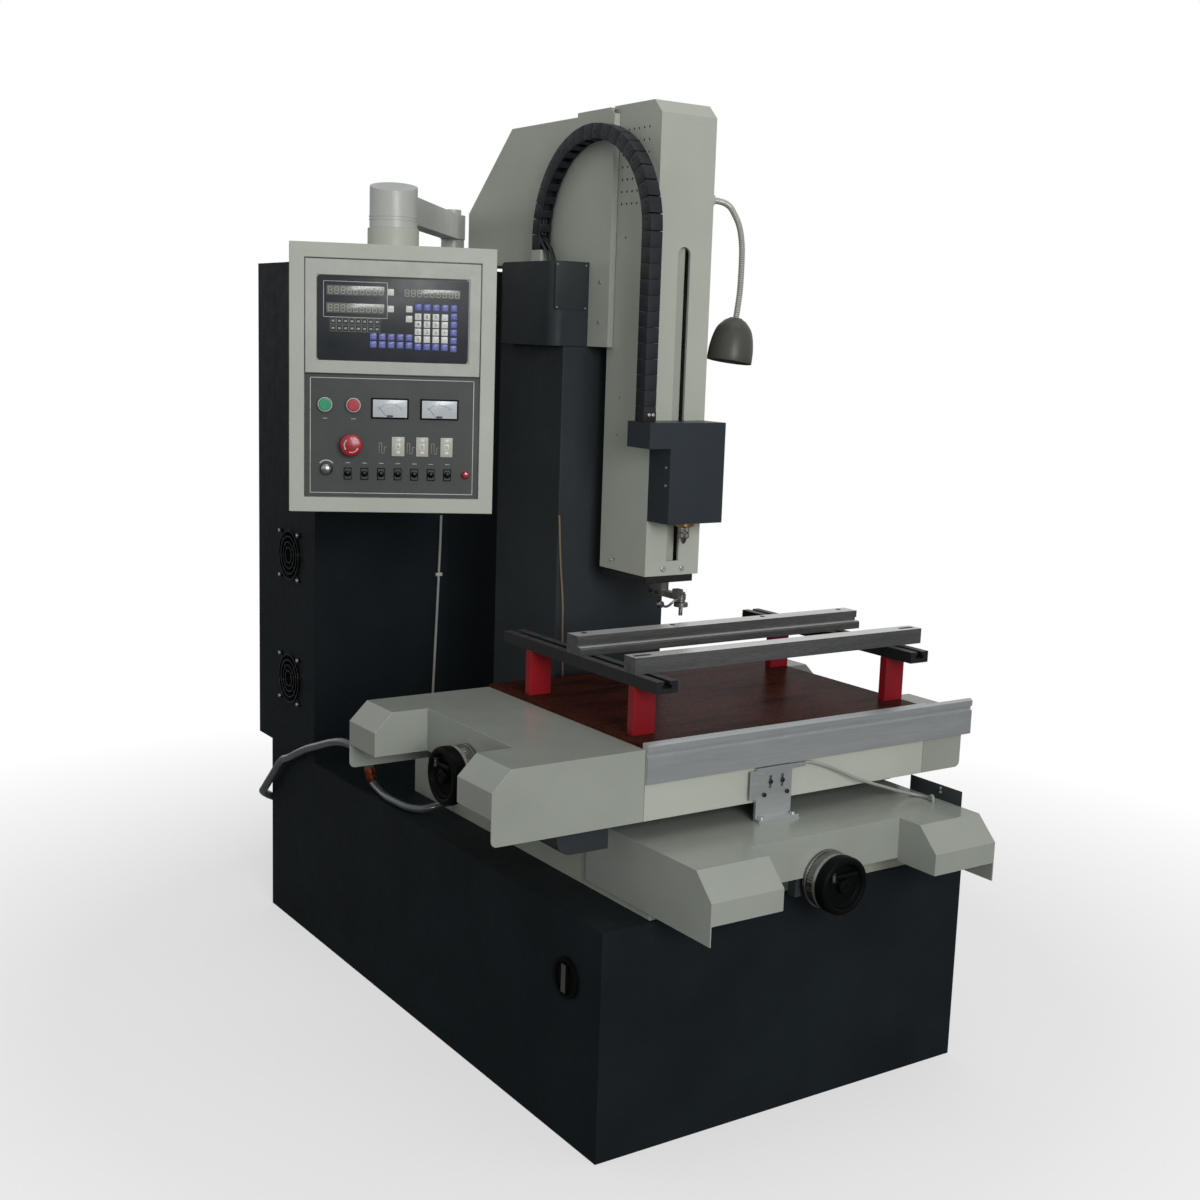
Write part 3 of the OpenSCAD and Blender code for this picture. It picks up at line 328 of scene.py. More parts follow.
class Finish:
    """A surface finish that makes its own material once."""

    name: str

    def paint(self, tree: Tree, shader: Node) -> None:
        """Lays the finish's nodes. Every finish gives its own."""
        raise NotImplementedError

    def material(self) -> bpy.types.Material:
        """The finish's material, made on first use.

        Returns:
            The material.
        """
        if self.name in bpy.data.materials:
            return bpy.data.materials[self.name]
        material = bpy.data.materials.new(self.name)
        material.use_nodes = True
        self.paint(material.node_tree, material.node_tree.nodes["Principled BSDF"])
        return material

    @staticmethod
    def position(tree: Tree, stretch: Point = (1.0, 1.0, 1.0)) -> Socket:
        """The object's own coordinates, stretched along each axis."""
        where = tree.nodes.new("ShaderNodeTexCoord")
        return wired(tree, "ShaderNodeMapping", Vector=where.outputs["Object"], Scale=stretch).outputs[0]

    @staticmethod
    def mixed(tree: Tree, mask: object, low: object, high: object) -> Socket:
        """A colour between two, by a mask.

        Args:
            tree: the material's node tree.
            mask: socket or number from 0 to 1.
            low: colour at 0.
            high: colour at 1.

        Returns:
            The colour socket.
        """
        node = tree.nodes.new("ShaderNodeMix")
        node.data_type = "RGBA"
        for index, value in ((0, mask), (6, low), (7, high)):
            if isinstance(value, Socket):
                tree.links.new(value, node.inputs[index])
            else:
                node.inputs[index].default_value = value
        return node.outputs[2]

    @staticmethod
    def ranged(tree: Tree, value: Socket, ends: Point) -> Socket:
        """A noise value, from about 0.3 to 0.7, spread between two ends."""
        return mapped(tree, value, 0.3, 0.7, *ends)

    def cover(self, tree: Tree, shader: Node, colour: Socket, gloss: Socket, rough: Point,
              relief: tuple) -> None:
        """Gives the shader its colour, roughness and fine relief.

        Args:
            tree: the material's node tree.
            shader: the material's shader.
            colour: the colour socket.
            gloss: noise that changes the roughness.
            rough: the roughness's two ends.
            relief: the height socket, its strength and its depth in metres.
        """
        tree.links.new(colour, shader.inputs["Base Color"])
        tree.links.new(self.ranged(tree, gloss, rough), shader.inputs["Roughness"])
        height, strength, depth = relief
        bump = wired(tree, "ShaderNodeBump", Strength=strength, Distance=depth, Height=height)
        tree.links.new(bump.outputs[0], shader.inputs["Normal"])


@dataclass(frozen=True)
class Paint(Finish):
    """Machine enamel, brushed, sprayed or powder coated."""

    name: str
    colour: tuple
    deep: tuple
    dust: tuple = srgb(150, 150, 142)
    rough: tuple = (0.34, 0.5)
    grain: float = 900.0
    peel: float = 0.12
    dusty: float = 0.15
    scuffs: float = 0.25
    sheen: float = 0.5

    def paint(self, tree: Tree, shader: Node) -> None:
        """Uneven coat, orange peel, hairline scuffs and settled dust.

        Args:
            tree: the material's node tree.
            shader: the material's shader.
        """
        here = self.position(tree)
        clouds = CLOUDS.placed(tree, here, Cloud_Scale=5.0, Grain_Scale=self.grain)
        scuff = SCUFFS.placed(tree, here, Cut=0.72)
        dust = DUST.placed(tree, here, Dust=self.dusty)
        coat = self.mixed(tree, self.ranged(tree, clouds["Tone"], (0.0, 1.0)), self.deep, self.colour)
        mark = reckoned(tree, "MULTIPLY", scuff["Mask"], self.scuffs)
        dusted = self.mixed(tree, dust["Mask"], self.mixed(tree, mark, coat, self.dust), self.dust)
        self.cover(tree, shader, dusted, clouds["Gloss"], self.rough, (clouds["Grain"], self.peel, 0.0006))
        shader.inputs["Specular IOR Level"].default_value = self.sheen


@dataclass(frozen=True)
class Metal(Finish):
    """Bare machined, ground or plated metal."""

    name: str
    colour: tuple
    deep: tuple
    rough: tuple = (0.22, 0.42)
    lie: Lie = Lie.ALONG_X
    lines: float = 700.0
    relief: float = 0.12
    stained: float = 0.2
    bare: float = 1.0

    def paint(self, tree: Tree, shader: Node) -> None:
        """Grinding lines with faint stains.

        Args:
            tree: the material's node tree.
            shader: the material's shader.
        """
        brush = GRINDING.placed(tree, self.position(tree, self.lie.value), Line_Scale=self.lines)
        ground = self.mixed(tree, mapped(tree, brush["Tone"], 0.12, 0.4), self.deep, self.colour)
        patch = mapped(tree, brush["Stain"], 0.5, 0.8, high=self.stained)
        self.cover(tree, shader, self.mixed(tree, patch, ground, self.deep), brush["Stain"], self.rough,
                   (brush["Height"], self.relief, 0.0003))
        shader.inputs["Metallic"].default_value = self.bare


@dataclass(frozen=True)
class Plastic(Finish):
    """Moulded plastic, rubber or a printed film."""

    name: str
    colour: tuple
    deep: tuple
    rough: tuple = (0.35, 0.5)
    grain: float = 1500.0
    relief: float = 0.08
    coat: float = 0.0
    sheen: float = 0.5

    def paint(self, tree: Tree, shader: Node) -> None:
        """Fine moulded grain with a slight change of tone.

        Args:
            tree: the material's node tree.
            shader: the material's shader.
        """
        clouds = CLOUDS.placed(tree, self.position(tree), Cloud_Scale=22.0, Grain_Scale=self.grain)
        tone = self.mixed(tree, self.ranged(tree, clouds["Tone"], (0.0, 1.0)), self.deep, self.colour)
        self.cover(tree, shader, tone, clouds["Gloss"], self.rough, (clouds["Grain"], self.relief, 0.0003))
        shader.inputs["Coat Weight"].default_value = self.coat
        shader.inputs["Coat Roughness"].default_value = 0.12
        shader.inputs["Specular IOR Level"].default_value = self.sheen


@dataclass(frozen=True)
class Granite(Finish):
    """Polished red-brown granite with dark flecks and long veins."""

    name: str
    colour: tuple
    deep: tuple
    vein: tuple
    rough: tuple = (0.26, 0.36)
    sheen: float = 0.01

    def paint(self, tree: Tree, shader: Node) -> None:
        """Crystals, veins and a polished surface.

        Args:
            tree: the material's node tree.
            shader: the material's shader.
        """
        crystals = wired(tree, "ShaderNodeTexVoronoi", Vector=self.position(tree), Scale=260.0)
        grit = wired(tree, "ShaderNodeSeparateXYZ", i0=crystals.outputs["Color"])
        streaks = CLOUDS.placed(tree, self.position(tree, (3.0, 14.0, 6.0)), Cloud_Scale=1.6,
                                Grain_Scale=420.0)
        body = self.mixed(tree, grit.outputs["X"], self.deep, self.colour)
        veined = self.mixed(tree, mapped(tree, streaks["Tone"], 0.5, 0.66), body, self.vein)
        self.cover(tree, shader, veined, streaks["Gloss"], self.rough, (streaks["Grain"], 0.03, 0.0002))
        shader.inputs["Specular IOR Level"].default_value = self.sheen


LIGHT_PAINT = Paint("light_grey_enamel", srgb(186, 190, 180), srgb(178, 182, 171), rough=(0.36, 0.5),
                    dust=srgb(168, 166, 152), dusty=0.12, scuffs=0.1, sheen=0.35)
# Darker copy of the light grey enamel: painted shade for the covers that sit low under the table.
SHADED_COVER_PAINT = Paint("cover_grey_enamel_painted_shade", srgb(162, 167, 159), srgb(153, 158, 150), rough=(0.16, 0.26),
                    dust=srgb(158, 156, 143), dusty=0.14, scuffs=0.12, sheen=0.45)
ARM_PAINT = Paint("arm_grey_enamel", srgb(192, 195, 189), srgb(180, 183, 177), rough=(0.28, 0.4),
                  dusty=0.05, scuffs=0.05)
DARK_PAINT = Paint("navy_grey_enamel", srgb(32, 38, 41), srgb(26, 31, 34), rough=(0.4, 0.55),
                   dust=srgb(84, 88, 86), dusty=0.06, scuffs=0.06, peel=0.2, sheen=0.05)
CASTING_PAINT = Paint("casting_enamel", srgb(54, 59, 62), srgb(46, 51, 54), rough=(0.42, 0.6), grain=260.0,
                      peel=0.3, dust=srgb(92, 94, 94), dusty=0.18, scuffs=0.12, sheen=0.15)
HEAD_PAINT = Paint("head_cover_enamel", srgb(51, 57, 63), srgb(44, 50, 56), rough=(0.3, 0.42),
                   dust=srgb(90, 92, 96), dusty=0.08, scuffs=0.08, sheen=0.25)
BED_PAINT = Paint("bed_enamel", srgb(172, 176, 165), srgb(156, 160, 148), rough=(0.45, 0.6), grain=260.0,
                  peel=0.3, dusty=0.25, sheen=0.3)
PILLAR_PAINT = Paint("pillar_red_enamel", srgb(150, 22, 32), srgb(122, 16, 26), rough=(0.3, 0.45),
                     dust=srgb(120, 80, 76), dusty=0.12, sheen=0.3)
BLACK_OXIDE = Paint("black_oxide", srgb(36, 36, 38), srgb(26, 26, 28), rough=(0.35, 0.55),
                    dust=srgb(88, 88, 86), dusty=0.15, peel=0.06, sheen=0.3)
LAMP_PAINT = Paint("lamp_grey_enamel", srgb(78, 78, 73), srgb(66, 66, 62), rough=(0.3, 0.42), dusty=0.05,
                   sheen=0.3)
PANEL_PAINT = Paint("panel_grey_enamel", srgb(70, 75, 73), srgb(62, 67, 66), rough=(0.42, 0.52),
                    dust=srgb(110, 112, 110), dusty=0.05, scuffs=0.06, sheen=0.3)
DATA_PAINT = Paint("data_plate_enamel", srgb(52, 58, 60), srgb(44, 50, 52), rough=(0.4, 0.5), dusty=0.05,
                   scuffs=0.3, sheen=0.3)
BEZEL = Plastic("bezel_grey_plastic", srgb(178, 180, 173), srgb(170, 172, 164))
FASCIA = Plastic("fascia_film", srgb(46, 50, 54), srgb(38, 42, 46), rough=(0.3, 0.4), sheen=0.3)
WINDOW = Plastic("display_window", srgb(112, 116, 110), srgb(98, 102, 97), rough=(0.15, 0.25), coat=0.4)
SEGMENTS = Plastic("display_segments", srgb(164, 168, 160), srgb(150, 154, 147), rough=(0.3, 0.4))
WHITE_INK = Plastic("white_print", srgb(206, 208, 202), srgb(192, 194, 188))
DARK_INK = Plastic("dark_print", srgb(56, 58, 62), srgb(46, 48, 52))
WHITE_KEY = Plastic("white_keycap", srgb(216, 218, 214), srgb(204, 206, 202), coat=0.2)
BLUE_KEY = Plastic("blue_keycap", srgb(96, 104, 182), srgb(80, 88, 164), coat=0.2)
BLUE_INK = Plastic("pale_blue_print", srgb(176, 182, 222), srgb(160, 168, 212))
METER_FACE = Plastic("meter_face", srgb(202, 208, 212), srgb(192, 198, 203), rough=(0.2, 0.3), coat=0.4)
BLACK_PLASTIC = Plastic("moulded_black", srgb(13, 14, 15), srgb(9, 10, 11), rough=(0.34, 0.5), sheen=0.05)
CHAIN_PLASTIC = Plastic("chain_plastic", srgb(36, 40, 44), srgb(29, 33, 37), rough=(0.4, 0.55), grain=700.0,
                        sheen=0.25)
CABLE_BLACK = Plastic("black_cable", srgb(30, 30, 32), srgb(22, 22, 24), rough=(0.45, 0.6))
BEIGE = Plastic("beige_plastic", srgb(190, 190, 178), srgb(178, 178, 166), coat=0.1)
GREEN_CAP = Plastic("green_button_cap", srgb(12, 152, 108), srgb(8, 138, 96), rough=(0.22, 0.3), coat=0.2)
RED_CAP = Plastic("red_button_cap", srgb(178, 34, 48), srgb(160, 26, 38), rough=(0.22, 0.32), coat=0.2)
LAMP_LENS = Plastic("red_lens", srgb(176, 34, 42), srgb(140, 24, 32), rough=(0.1, 0.2), coat=0.6)
BULB = Plastic("opal_bulb", srgb(232, 230, 222), srgb(224, 222, 214), rough=(0.2, 0.3))
HOSE = Plastic("milky_hose", srgb(84, 91, 92), srgb(70, 77, 78), rough=(0.14, 0.26), coat=0.8)
BAR_PRINT = Plastic("grey_print", srgb(150, 154, 148), srgb(136, 140, 134))
GREY_CABLE = Plastic("grey_cable", srgb(158, 160, 154), srgb(146, 148, 142), rough=(0.4, 0.5))
TAN_CABLE = Plastic("tan_cable", srgb(128, 112, 84), srgb(112, 98, 72), rough=(0.45, 0.6))
GROUND_STEEL = Metal("ground_steel", srgb(240, 240, 238), srgb(220, 220, 218), rough=(0.14, 0.26),
                     stained=0.25, bare=0.35)
BAR_SIDE = Metal("sawn_bar_side", srgb(112, 113, 112), srgb(80, 81, 82), rough=(0.42, 0.56), stained=0.4,
                 bare=0.7)
TURNED_STEEL = Metal("turned_steel", srgb(156, 156, 152), srgb(112, 112, 110), rough=(0.2, 0.34),
                     lie=Lie.ALONG_Z)
CHUCK_STEEL = Metal("chuck_steel", srgb(168, 166, 162), srgb(118, 116, 112), rough=(0.2, 0.32),
                    lie=Lie.ALONG_Z)
GUARD_WIRE = Metal("guard_wire", srgb(84, 86, 85), srgb(70, 72, 71), rough=(0.07, 0.13), relief=0.0)
ZINC = Metal("zinc_plating", srgb(206, 208, 208), srgb(176, 178, 178), rough=(0.26, 0.38), bare=0.8)
ALUMINIUM = Metal("anodised_extrusion", srgb(206, 210, 210), srgb(190, 194, 195), rough=(0.3, 0.4),
                  lines=260.0, bare=0.8)
BRASS = Metal("turned_brass", srgb(196, 160, 104), srgb(150, 118, 72), rough=(0.24, 0.38), lie=Lie.ALONG_Z)
COPPER = Metal("copper_fitting", srgb(126, 66, 50), srgb(92, 46, 34), rough=(0.3, 0.45))
GOOSENECK = Metal("ribbed_hose_metal", srgb(198, 197, 188), srgb(172, 170, 160), rough=(0.32, 0.44),
                  lie=Lie.ALONG_Z, bare=0.35)
KNOB_METAL = Metal("knob_cap", srgb(186, 188, 184), srgb(150, 152, 149), rough=(0.2, 0.34), lie=Lie.ALONG_Z)
STONE = Granite("red_brown_granite", srgb(84, 44, 34), srgb(48, 26, 21), srgb(40, 21, 17))


# ---- modelling tools ----


def joint(name: str) -> dict:
    """The record's joint of that name."""
    return next(j for j in frame["joints"] if j["name"] == name)


def deselect() -> None:
    """Leaves edit mode and selects nothing."""
    if bpy.context.object and bpy.context.object.mode != "OBJECT":
        bpy.ops.object.mode_set(mode="OBJECT")
    bpy.ops.object.select_all(action="DESELECT")


def take(*pieces: Piece) -> None:
    """Selects only these pieces, the first one active.

    Args:
        pieces: the pieces.
    """
    deselect()
    for piece in pieces:
        piece.select_set(True)
    bpy.context.view_layer.objects.active = pieces[0]


@contextmanager
def editing(piece: Piece) -> Iterator[bmesh.types.BMesh]:
    """Opens a piece in edit mode.

    Args:
        piece: the mesh object.

    Returns:
        Its edit mesh; what the caller selects is kept.
    """
    take(piece)
    bpy.ops.object.mode_set(mode="EDIT")
    mesh = bmesh.from_edit_mesh(piece.data)
    yield mesh
    bpy.ops.object.mode_set(mode="OBJECT")


def settle(piece: Piece) -> Piece:
    """Puts a piece's place into its mesh, leaving the object at the origin.

    Args:
        piece: the mesh object.

    Returns:
        The piece.
    """
    take(piece)
    bpy.ops.object.transform_apply(location=True, rotation=True, scale=True)
    return piece


def modify(piece: Piece, kind: str, **settings: object) -> Piece:
    """Adds a modifier with its settings and applies it.

    Args:
        piece: the mesh object.
        kind: the modifier's type.
        settings: its values.

    Returns:
        The piece.
    """
    take(piece)
    modifier = piece.modifiers.new(kind.lower(), kind)
    for key, value in settings.items():
        setattr(modifier, key, value)
    bpy.ops.object.modifier_apply(modifier=modifier.name)
    return piece


def soften(piece: Piece, width: float, segments: int = 2, angle: float = 30.0) -> Piece:
    """Rounds a piece's edges and smooths it.

    Args:
        piece: the mesh object.
        width: bevel width in metres.
        segments: bevel steps.
        angle: edges sharper than this, in degrees, are rounded.

    Returns:
        The piece.
    """
    if width > 0:
        modify(piece, "BEVEL", width=width, segments=segments, limit_method="ANGLE",
               angle_limit=math.radians(angle), harden_normals=False, use_clamp_overlap=True)
    return smooth(piece)


def smooth(piece: Piece, angle: float = 32.0) -> Piece:
    """Smooth shading that keeps edges sharper than an angle.

    Args:
        piece: the mesh object.
        angle: edges sharper than this, in degrees, stay sharp.

    Returns:
        The piece.
    """
    take(piece)
    bpy.ops.object.shade_smooth_by_angle(angle=math.radians(angle))
    return piece


def cuboid(name: str, low: Point, high: Point) -> Piece:
    """A sharp-edged box between two corners, to be eased.

    Args:
        name: the piece's name.
        low: lowest corner.
        high: highest corner.

    Returns:
        The piece.
    """
    a, b = Vector(low), Vector(high)
    deselect()
    bpy.ops.mesh.primitive_cube_add(size=1.0, location=(a + b) / 2, scale=b - a)
    piece = settle(bpy.context.object)
    piece.name = name
    return piece


def block(name: str, low: Point, high: Point, width: float = 0.0004) -> Piece:
    """A plate or bar between two corners, with eased edges.

    Args:
        name: the piece's name.
        low: lowest corner.
        high: highest corner.
        width: edge rounding.

    Returns:
        The piece.
    """
    return soften(cuboid(name, low, high), min(width, 0.3 * min(Vector(high) - Vector(low))))


def plate(name: str, low: Point, high: Point, across: Axis, radius: float, width: float = 0.0004) -> Piece:
    """A plate whose outline has rounded corners.

    Args:
        name: the piece's name.
        low: lowest corner.
        high: highest corner.
        across: the direction of its thickness.
        radius: corner radius.
        width: edge rounding.

    Returns:
        The piece.
    """
    piece = cuboid(name, low, high)
    with editing(piece) as mesh:
        bpy.ops.mesh.select_mode(type="EDGE")
        for edge in mesh.edges:
            run = edge.verts[1].co - edge.verts[0].co
            edge.select_set(abs(run.normalized()[across.value]) > 0.9)
        bmesh.update_edit_mesh(piece.data)
        bpy.ops.mesh.bevel(offset=radius, segments=5, affect="EDGES")
    return soften(piece, min(width, 0.3 * min(Vector(high) - Vector(low))), angle=40.0)


def aim(axis: Vector) -> Matrix:
    """A turn that brings up, +Z, onto an axis."""
    return Vector(UP).rotation_difference(axis.normalized()).to_matrix().to_4x4()


def turned(name: str, profile: Sequence[Point], at: Point, axis: Point = UP, steps: int = 64,
           angle: float = 32.0) -> Piece:
    """A lathe-turned piece.

    Args:
        name: the piece's name.
        profile: radius and height pairs in metres, from the axis round to the axis.
        at: where height 0 of its axis lies.
        axis: the way its height runs.
        steps: facets round it.
        angle: edges sharper than this stay sharp.

    Returns:
        The piece.
    """
    deselect()
    bpy.ops.mesh.primitive_plane_add(size=0.001)
    piece = bpy.context.object
    piece.name = name
    with editing(piece):
        bpy.ops.mesh.select_mode(type="VERT")
        bpy.ops.mesh.select_all(action="SELECT")
        bpy.ops.mesh.merge(type="CENTER")
        bpy.ops.transform.translate(value=(profile[0][0], 0, profile[0][1]))
        for here, there in zip(profile, profile[1:]):
            step = (there[0] - here[0], 0, there[1] - here[1])
            bpy.ops.mesh.extrude_region_move(TRANSFORM_OT_translate={"value": step})
        bpy.ops.mesh.select_all(action="SELECT")
        bpy.ops.mesh.spin(steps=steps, angle=math.tau, center=(0, 0, 0), axis=(0, 0, 1))
        bpy.ops.mesh.select_all(action="SELECT")
        bpy.ops.mesh.remove_doubles(threshold=1e-6)
        bpy.ops.mesh.normals_make_consistent(inside=False)
    piece.data.transform(Matrix.Translation(at) @ aim(Vector(axis)))
    return smooth(piece, angle)


def arc(radius: float, centre: Point, start: float, end: float, steps: int = 5) -> list[tuple]:
    """Points of a profile's rounded corner.

    Args:
        radius: corner radius.
        centre: its centre, as radius and height.
        start: first angle in degrees.
        end: last angle in degrees.
        steps: number of chords.

    Returns:
        Radius and height pairs.
    """
    turns = [math.radians(start + (end - start) * i / steps) for i in range(steps + 1)]
    return [(centre[0] + radius * math.cos(t), centre[1] + radius * math.sin(t)) for t in turns]


def copy_of(piece: Piece, change: Matrix) -> Piece:
    """A copy with its own mesh, moved by a matrix.

    Args:
        piece: the piece.
        change: the matrix.

    Returns:
        The copy.
    """
    twin = piece.copy()
    twin.data = piece.data.copy()
    bpy.context.collection.objects.link(twin)
    twin.data.transform(change)
    return twin


def joined(name: str, pieces: Sequence[Piece]) -> Piece:
    """Several pieces made one.

    Args:
        name: the new piece's name.
        pieces: the pieces.

    Returns:
        The joined piece.
    """
    take(*pieces)
    if len(pieces) > 1:
        bpy.ops.object.join()
    pieces[0].name = name
    return pieces[0]


def repeated(name: str, model: Piece, changes: Sequence[Matrix]) -> Piece:
    """Copies of a model, each moved by its matrix and all joined; the model itself goes.

    Args:
        name: the new piece's name.
        model: the piece that is copied.
        changes: one matrix for each copy.

    Returns:
        The joined copies.
    """
    copies = [copy_of(model, change) for change in changes]
    bpy.data.objects.remove(model, do_unlink=True)
    return joined(name, copies)


def screw(name: str, at: Point, axis: Point, head: Head) -> Piece:
    """A domed socket-head screw.

    Args:
        name: the piece's name.
        at: where it sits on the surface.
        axis: the way its head looks.
        head: its head's size.

    Returns:
        The piece.
    """
    r, tall = head.value
    key = r * 0.45
    profile = [(0, -0.0008), (r, -0.0008), (r, tall * 0.6), (r * 0.96, tall * 0.85), (r * 0.8, tall),
               (key, tall), (key, tall * 0.5), (0, tall * 0.5)]
    return turned(name, profile, at, axis, steps=24)


def smoothed_path(points: Sequence[Point], steps: int = 6) -> list[Vector]:
    """A smooth line through points.

    Args:
        points: the points it passes.
        steps: pieces of line between two points.

    Returns:
        The line's points.
    """
    p = [Vector(q) for q in points]
    p = [2 * p[0] - p[1], *p, 2 * p[-1] - p[-2]]
    line = []
    for a, b, c, d in zip(p, p[1:], p[2:], p[3:]):
        for i in range(steps):
            t = i / steps
            line.append(0.5 * (2 * b + (c - a) * t + (2 * a - 5 * b + 4 * c - d) * t ** 2
                               + (3 * b - a - 3 * c + d) * t ** 3))
    return [*line, p[-2]]


def tube(name: str, line: Sequence[Vector], radius: float, ribs: tuple = (0.0, 0.0)) -> Piece:
    """A round tube along a line, with ribs if wanted.

    Args:
        name: the piece's name.
        line: the points it follows.
        radius: outer radius.
        ribs: pitch and depth of ribs across it.

    Returns:
        The piece.
    """
    curve = bpy.data.curves.new(name, "CURVE")
    curve.dimensions = "3D"
    spline = curve.splines.new("POLY")
    spline.points.add(len(line) - 1)
    for i, (point, here) in enumerate(zip(spline.points, line)):
        point.co = (*here, 1.0)
        point.radius = 1.0 - (ribs[1] / radius if ribs[0] and i % 2 else 0.0)
    curve.bevel_depth = radius
    curve.bevel_resolution = 4
    curve.use_fill_caps = True
    piece = bpy.data.objects.new(name, curve)
    bpy.context.collection.objects.link(piece)
    return piece


def as_mesh(piece: Piece) -> Piece:
    """A curve or text made a mesh, with its place in the mesh.

    Args:
        piece: the curve or text object.

    Returns:
        The mesh object.
    """
    take(piece)
    bpy.ops.object.convert(target="MESH")
    piece = bpy.context.object
    return settle(piece)


def eased(node: str, width: float, segments: int = 2, angle: float = 30.0) -> Piece:
    """A copy of a CAD node with its edges rounded, ready to stand for it.

    Args:
        node: the CAD node.
        width: edge rounding in metres.
        segments: bevel steps.
        angle: edges sharper than this are rounded.

    Returns:
        The piece.
    """
    source = frame["nodes"][node]
    piece = source.copy()
    piece.data = source.data.copy()
    piece.parent = None
    piece.matrix_world = Matrix.Identity(4)
    piece.name = f"{node}_finished"
    bpy.context.collection.objects.link(piece)
    piece.hide_render = False
    piece.hide_viewport = False
    with editing(piece):
        bpy.ops.mesh.select_all(action="SELECT")
        bpy.ops.mesh.remove_doubles(threshold=2e-6)
        bpy.ops.mesh.customdata_custom_splitnormals_clear()
        bpy.ops.mesh.dissolve_limited(angle_limit=math.radians(0.4))
    plain = piece.data.copy()
    soften(piece, width, segments, angle)
    while overlaps(piece.data) and width > 0.0002:
        width /= 2
        piece.data = plain.copy()
        soften(piece, width, segments, angle)
    return modify(piece, "WEIGHTED_NORMAL", keep_sharp=True)


def overlaps(mesh: bpy.types.Mesh) -> bool:
    """Tells whether rounding has folded a face over itself.

    Args:
        mesh: the rounded mesh.

    Returns:
        True where its triangles cover more than its faces.
    """
    mesh.calc_loop_triangles()
    whole = sum(face.area for face in mesh.polygons)
    return sum(part.area for part in mesh.loop_triangles) > whole * 1.0004


def dress(piece: Piece, finish: Finish) -> Piece:
    """Gives a piece one finish all over.

    Args:
        piece: the mesh object.
        finish: its finish.

    Returns:
        The piece.
    """
    piece.data.materials.clear()
    piece.data.materials.append(finish.material())
    return piece


def dress_where(piece: Piece, finish: Finish, test: Callable[[Vector, Vector], bool]) -> Piece:
    """Gives a second finish to the faces that pass a test.

    Args:
        piece: a mesh that has its first finish.
        finish: the second finish.
        test: tells from a face's centre and normal whether it gets the finish.

    Returns:
        The piece.
    """
    piece.data.materials.append(finish.material())
    index = len(piece.data.materials) - 1
    for face in piece.data.polygons:
        if test(Vector(face.center), Vector(face.normal)):
            face.material_index = index
    return piece


class SubAssembly:
    """A group of pieces that is built and dressed together."""

    def add(self, piece: Piece, body: str, slot: str, finish: Finish | None,
            stands_for: Sequence[str] = ()) -> Piece:
        """Dresses a piece, hangs it on its body and notes it.

        Args:
            piece: the finished piece.
            body: the CAD body it moves with.
            slot: the record's material slot; not used.
            finish: its finish, or None where it is dressed already.
            stands_for: CAD nodes that it replaces.

        Returns:
            The piece.
        """
        if finish is not None:
            dress(piece, finish)
        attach(piece, body)
        if stands_for:
            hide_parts(*stands_for)
        LOG.info("%s on %s", piece.name, body)
        return piece

    def stand_for(self, node: str, finish: Finish, width: float = 0.001, segments: int = 2,
                  angle: float = 30.0) -> Piece:
        """Replaces a CAD node by its copy with rounded edges and a finish.

        Args:
            node: the CAD node.
            finish: its finish.
            width: edge rounding.
            segments: bevel steps.
            angle: edges sharper than this are rounded.

        Returns:
            The piece.
        """
        return self.add(eased(node, width, segments, angle), BODY_OF[node], SLOT_OF[node], finish, [node])

    def screws(self, name: str, body: str, finish: Finish, rows: Sequence[tuple]) -> None:
        """Adds screws joined as one piece.

        Args:
            name: the piece's name.
            body: the CAD body it moves with.
            finish: its finish.
            rows: for each screw its place, the way its head looks, and its head.
        """
        self.add(joined(name, [screw(name, *row) for row in rows]), body, "bare_steel", finish)


# ---- view and room ----


